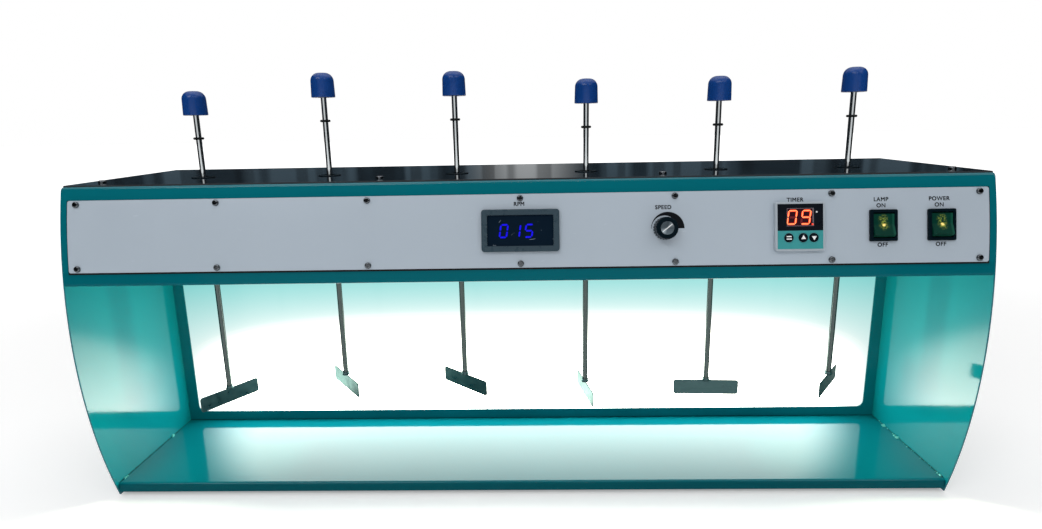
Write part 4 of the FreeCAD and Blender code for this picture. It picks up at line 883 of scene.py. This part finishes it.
def timer_face(look, fascia):
    """Face film of the timer: black round the window, teal round the buttons."""
    x = middle("timer_case").x
    half, split, film = 0.0219, -0.0041, 0.00025
    upper = half - split
    hole_up = TIMER_WINDOW_UP - (half + split) / 2
    black = frame_round(2 * half, upper, 0.0260, 0.0175, hole_up, film)
    place = fascia.matrix(x, (half + split) / 2, TIMER_FRONT)
    piece("timer_face_black", moved(black, place), look["face_black"], "case", "black_plastic")

    lower = half + split
    teal = block(2 * half, lower, film)
    moved(teal, fascia.matrix(x, (split - half) / 2, TIMER_FRONT))
    film_piece = piece("timer_face_teal", teal, look["face_teal"], "case", "teal_paint")
    size = Matrix.Diagonal((BUTTON_HOLE_RADIUS, BUTTON_HOLE_RADIUS, 0.0030, 1.0))
    cutters = joined([moved(turned([(0, -1), (1, -1), (1, 1), (0, 1)], 40),
                            fascia.matrix(x + at, BUTTON_UP, TIMER_FRONT) @ size)
                      for at in BUTTON_AT.values()])
    cut_holes(film_piece, cutters)

    lens = 0.0002
    foot = TIMER_WINDOW_FRONT + INK_LIFT
    window = moved(block(0.0258, 0.0173, lens), fascia.matrix(x, TIMER_WINDOW_UP, foot))
    piece("timer_window", window, look["red_window"], "case", "display_window")
    place = fascia.matrix(x, TIMER_WINDOW_UP, foot + lens)
    row = (0.0134, -0.0076, -0.0001)
    lit, dark = digits("09", place, *row, TIMER_DIGIT)
    piece("timer_digits_lit", lit, look["red_lit"], "case", "display_window")
    piece("timer_digits_dark", dark, look["red_dark"], "case", "display_window")
    above = place @ Matrix.Translation((0, 0, 0.0001))
    core, dark = digits("09", above, *row, TIMER_DIGIT_CORE, 0.00005)
    dark.free()
    piece("timer_digits_core", core, look["red_core"], "case", "display_window")
    rim = frame_round(0.0252, 0.0174, 0.0242, 0.0164, 0.0, 0.0001)
    piece("timer_window_rim", moved(rim, place), look["red_rim"], "case", "display_window")
    point = turned([(0, 0), (0.0010, 0), (0.0010, 0.0001), (0, 0.0001)], 20)
    piece("timer_point", moved(point, place @ Matrix.Translation((0.0122, -0.0070, 0))),
          look["red_lit"], "case", "display_window")
    dot = turned([(0, 0), (0.0009, 0), (0.0007, 0.0003), (0, 0.0004)], 24)
    piece("timer_dot", moved(dot, fascia.matrix(x + 0.0157, 0.0139, TIMER_FRONT + film)),
          look["white"], "case", "white_plastic")


def cut_holes(target, cutter_shape):
    """Cuts a shape out of a piece for good."""
    mesh = mesh_of("cutter", cutter_shape)
    cutter = placed("cutter", mesh)
    boolean = target.modifiers.new("holes", "BOOLEAN")
    boolean.operation = "DIFFERENCE"
    boolean.solver = "EXACT"
    boolean.object = cutter
    bpy.context.view_layer.update()
    evaluated = target.evaluated_get(bpy.context.evaluated_depsgraph_get())
    result = bpy.data.meshes.new_from_object(evaluated)
    target.modifiers.remove(boolean)
    old = target.data
    target.data = result
    result.name = target.name
    bpy.data.meshes.remove(old)
    bpy.data.objects.remove(cutter)
    bpy.data.meshes.remove(mesh)


def button_marks(look, fascia):
    """Pale marks on the timer's buttons: two bars, an up arrow and a down arrow."""
    x = middle("timer_case").x
    for name, at in BUTTON_AT.items():
        place = fascia.matrix(x + at, BUTTON_UP, TIMER_FRONT + BUTTON_RAISE + INK_LIFT)
        if name == "set":
            shape = joined([put(block(0.0050, 0.0011, INK), 0, y) for y in (-0.0012, 0.0012)])
        else:
            shape = bmesh.new()
            bmesh.ops.create_circle(shape, cap_ends=True, segments=3, radius=0.0027)
            turn = 0.0 if name == "up" else math.pi
            moved(thicken(shape, INK), Matrix.Rotation(turn, 4, "Z"))
        piece("timer_%s_mark" % name, moved(shape, place), look["pale_ink"],
              "timer_%s" % name, "white_plastic")


def knob_cap(look, fascia):
    """Faced cap of the speed knob with its pointer line."""
    x = middle("speed_knob").x
    cap = turned([(0, 0), (CAP_RADIUS, 0), (CAP_RADIUS, 0.0003), (0.0058, CAP_HEIGHT),
                  (0, CAP_HEIGHT)])
    piece("speed_cap", moved(cap, fascia.matrix(x, 0.0, CAP_RAISE)), look["cap"],
          "speed_dial", "stainless")
    pointer = block(0.0008, 0.0120, 0.0001)
    turn = Matrix.Rotation(math.radians(-52), 4, "Z")
    place = fascia.matrix(x, 0.0, CAP_RAISE + CAP_HEIGHT) @ turn
    piece("speed_pointer", moved(pointer, place), look["pale_ink"], "speed_dial",
          "white_plastic")


# ------------------------ bay and rear
def corner_welds(look):
    """Tack welds under the enamel along the seams of the floor and the side panels; their
    lighter enamel is a painted highlight.
    """
    low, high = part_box("base_pan")
    front = low.y
    rng = random.Random(3)
    lumps = []
    run = tuple(0.006 + 0.0085 * step for step in range(17))
    for side, depths, count, small, large in ((-1, (0.012, 0.112), 5, 0.0010, 0.0021),
                                              (1, (0.010, 0.098, 0.128), 5, 0.0010, 0.0021),
                                              (1, run, 1, 0.0004, 0.0009)):
        edge = high.x * side
        for depth in depths:
            for _ in range(count):
                lump = bmesh.new()
                size = rng.uniform(small, large)
                bmesh.ops.create_icosphere(lump, subdivisions=2, radius=size)
                for vert in lump.verts:
                    vert.co *= rng.uniform(0.85, 1.1)
                inside = max(rng.uniform(0.0, 0.0022), 1.1 * size - WELD_DEPTH)
                lumps.append(put(lump, edge - side * inside,
                                 front + depth + rng.uniform(-0.0045, 0.0045),
                                 high.z + rng.uniform(-0.0002, 0.0010)))
    piece("corner_welds", joined(lumps), look["weld"], "case", "teal_paint")


def bay_seam_shadows(look):
    """Dark strips along the joints between the floor, the side panels and the window frame:
    painted shade of the seams.
    """
    low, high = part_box("base_pan")
    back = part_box("window_frame")[0].y
    width, lip = 0.0006, 0.004
    strips = []
    for side in (-1, 1):
        strip = block(width, back - low.y - lip, width)
        x = side * (high.x - width / 2)
        strips.append(put(strip, x, (back + low.y + lip) / 2, high.z))
    across = block(2 * high.x, width, width)
    strips.append(put(across, 0, back - width / 2, high.z))
    piece("bay_seam_shadows", joined(strips), look["seam"], "case", "teal_paint")


def inlet_contacts(look):
    """Metal contacts over the pins of the mains inlet."""
    low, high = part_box("power_inlet")
    spot = (low + high) / 2
    skin = 0.0001
    shapes = []
    for x, z in ((-0.007, -0.002), (0.007, -0.002), (0.0, 0.002)):
        pin = block(0.002 + 2 * skin, 0.004 + 2 * skin, 0.0140 + skin, 0.0003, 0.0006)
        place = Matrix.Translation((spot.x + x, high.y - 0.017, spot.z + z))
        shapes.append(moved(pin, place @ Matrix.Rotation(-math.pi / 2, 4, "X")))
    piece("inlet_contacts", joined(shapes), look["contact"], "case", "stainless")


# ------------------------ studio
def studio_floor():
    """Pale floor, white towards the horizon, that keeps the shadow of the case."""
    bm = bmesh.new()
    bmesh.ops.create_grid(bm, x_segments=1, y_segments=1, size=FLOOR_HALF)
    floor = placed("floor", mesh_of("floor", bm))
    made = Finish("pale_floor", (0.90, 0.90, 0.90), 0.8, gloss=0.1)
    path = made.node("ShaderNodeLightPath")
    seen = made.maths("MAXIMUM", path.outputs["Is Camera Ray"], path.outputs["Is Glossy Ray"])
    seen = made.maths("MAXIMUM", seen, path.outputs["Is Transmission Ray"])
    white = made.spread(made.length(made.place), 0.8, 3.0, 0.30, 0.90, smooth=True)
    made.set("Emission Color", (1.0, 1.0, 1.0, 1.0))
    made.feed("Emission Strength", made.maths("MULTIPLY", seen, white))
    floor.data.materials.append(made.material)


def flag_cloth(name, dark, light, lit=0.0):
    """Cloth with hanging folds, so that gloss shows upright bands; lit in one place."""
    made = Finish(name, (0.01, 0.011, 0.013), 0.9, gloss=0.0)
    folds = made.spread(made.noise(1.0, 2.0, 0.6, (1.7, 0.0, 0.0)), 0.485, 0.515)
    fine = made.spread(made.noise(1.0, 1.0, 0.5, (6.0, 0.0, 0.0)), 0.46, 0.50, 0.55, 1.0)
    aside = made.axes(made.stretched((1, 1, 1), (LIT_FOLD, 0, 0)))["X"]
    near = made.spread(made.maths("ABSOLUTE", aside), 0.0, 0.42, lit, 0.0, smooth=True)
    bands = made.mix(folds, dark, light)
    made.feed("Emission Color", made.mix(near, bands, (0.44, 0.46, 0.47)))
    made.feed("Emission Strength", fine)
    return made.material


def studio_flags():
    """Dark cards that only reflections see, so that gloss and metal keep their contrast."""
    plain = flag_cloth("flag_cloth", (0.012, 0.014, 0.016), (0.020, 0.024, 0.028))
    folded = flag_cloth("flag_folds", (0.009, 0.016, 0.022), (0.052, 0.080, 0.102), 1.0)
    upright = math.pi / 2
    for name, place, turn, width, height, cloth in (
            ("flag_front_left", (-5.7, -4.0, 2.35), 0, 6.6, 4.6, plain),
            ("flag_front_right", (5.7, -4.0, 2.35), 0, 6.6, 4.6, plain),
            ("flag_front_over", (0.0, -4.0, 2.85), 0, 4.8, 3.6, plain),
            ("flag_back", (0.0, 3.2, 1.30), 0, 9.0, 2.5, folded),
            ("flag_left", (-2.6, 0.0, 1.30), upright, 4.4, 2.5, plain),
            ("flag_right", (2.6, 0.0, 1.30), upright, 4.4, 2.5, plain)):
        bm = bmesh.new()
        bmesh.ops.create_grid(bm, x_segments=1, y_segments=1, size=0.5)
        bmesh.ops.scale(bm, vec=(width, height, 1.0), verts=bm.verts)
        card = placed(name, mesh_of(name, bm))
        card.data.materials.append(cloth)
        card.location = place
        card.rotation_euler = (upright, 0, turn)
        card.visible_camera = False
        card.visible_diffuse = False
        card.visible_transmission = False
        card.visible_shadow = False


def softbox(name, place, target, width, height, power):
    data = bpy.data.lights.new(name, "AREA")
    data.shape = "RECTANGLE"
    data.size = width
    data.size_y = height
    data.energy = power
    lamp = placed(name, data)
    lamp.location = place
    lamp.rotation_mode = "QUATERNION"
    lamp.rotation_quaternion = (Vector(target) - Vector(place)).to_track_quat("-Z", "Y")
    return lamp


def panel_lamps():
    """Light that the lit panel throws on the side walls; the camera and reflections don't see
    these lamps.
    """
    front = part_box("light_diffuser")[0].y
    for side in (-1, 1):
        lamp = softbox("panel_lamp_%d" % (2 + side), (0.22 * side, front - 0.065, 0.15),
                       (side, -0.26, 0.17), 0.05, 0.16, 0.56)
        lamp.data.color = (0.90, 1.0, 0.66)
        lamp.data.spread = math.radians(110)
        lamp.visible_camera = False
        lamp.visible_glossy = False


def studio_world():
    world = bpy.data.worlds.new("studio")
    bpy.context.scene.world = world
    world.use_nodes = True
    tree = world.node_tree
    background = tree.nodes["Background"]
    background.inputs["Color"].default_value = (1.0, 1.0, 1.0, 1.0)
    path = tree.nodes.new("ShaderNodeLightPath")
    seen = path.outputs["Is Camera Ray"]
    for other in ("Is Glossy Ray", "Is Transmission Ray"):
        either = tree.nodes.new("ShaderNodeMath")
        either.operation = "MAXIMUM"
        tree.links.new(seen, either.inputs[0])
        tree.links.new(path.outputs[other], either.inputs[1])
        seen = either.outputs["Value"]
    level = tree.nodes.new("ShaderNodeMapRange")
    level.inputs["To Min"].default_value = 0.42
    level.inputs["To Max"].default_value = 1.0
    tree.links.new(seen, level.inputs["Value"])
    tree.links.new(level.outputs["Result"], background.inputs["Strength"])


def studio():
    studio_world()
    studio_floor()
    studio_flags()
    softbox("key", (-1.3, -2.2, 2.3), (0, 0, 0.25), 1.6, 1.0, 22.0)
    softbox("fill", (1.7, -2.0, 2.2), (0, 0, 0.25), 1.2, 1.2, 8.0)
    softbox("strip", (0.0, -2.4, 1.9), (0, 0, 0.30), 1.3, 0.05, 5.0)
    front = softbox("front", (0.0, -3.0, 0.85), (0, 0, 0.30), 2.0, 0.4, 5.0)
    front.visible_glossy = False
    softbox("top", (0.0, 0.1, 2.4), (0, 0, 0.3), 2.4, 1.2, 14.0)
    panel_lamps()


def camera():
    data = bpy.data.cameras.new("camera")
    data.sensor_fit = "HORIZONTAL"
    data.sensor_width = SENSOR_WIDTH
    data.lens = FOCAL_PIXELS * SENSOR_WIDTH / PICTURE_WIDTH
    made = placed("camera", data)
    made.matrix_world = (Matrix.Translation(CAMERA_PLACE)
                         @ Matrix.Rotation(CAMERA_YAW, 4, "Z")
                         @ Matrix.Rotation(-CAMERA_PITCH, 4, "X")
                         @ Matrix.Rotation(CAMERA_ROLL, 4, "Y")
                         @ Matrix.Rotation(math.pi / 2, 4, "X"))
    bpy.context.scene.camera = made


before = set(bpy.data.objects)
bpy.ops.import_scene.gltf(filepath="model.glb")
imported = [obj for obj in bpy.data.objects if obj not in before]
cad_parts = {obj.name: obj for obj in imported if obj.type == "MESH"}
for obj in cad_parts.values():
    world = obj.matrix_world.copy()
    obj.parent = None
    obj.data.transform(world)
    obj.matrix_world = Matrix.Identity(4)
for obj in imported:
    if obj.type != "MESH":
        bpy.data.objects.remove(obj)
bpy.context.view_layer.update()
bpy.context.scene.view_settings.view_transform = "Standard"
camera()
look = finishes()
fascia = Fascia()
dress_nodes(look)
stirrers(look)
fascia_print(look, fascia)
fascia_painted_shadow(look, fascia)
meter_display(look, fascia)
timer_face(look, fascia)
button_marks(look, fascia)
knob_cap(look, fascia)
corner_welds(look)
bay_seam_shadows(look)
inlet_contacts(look)
studio()
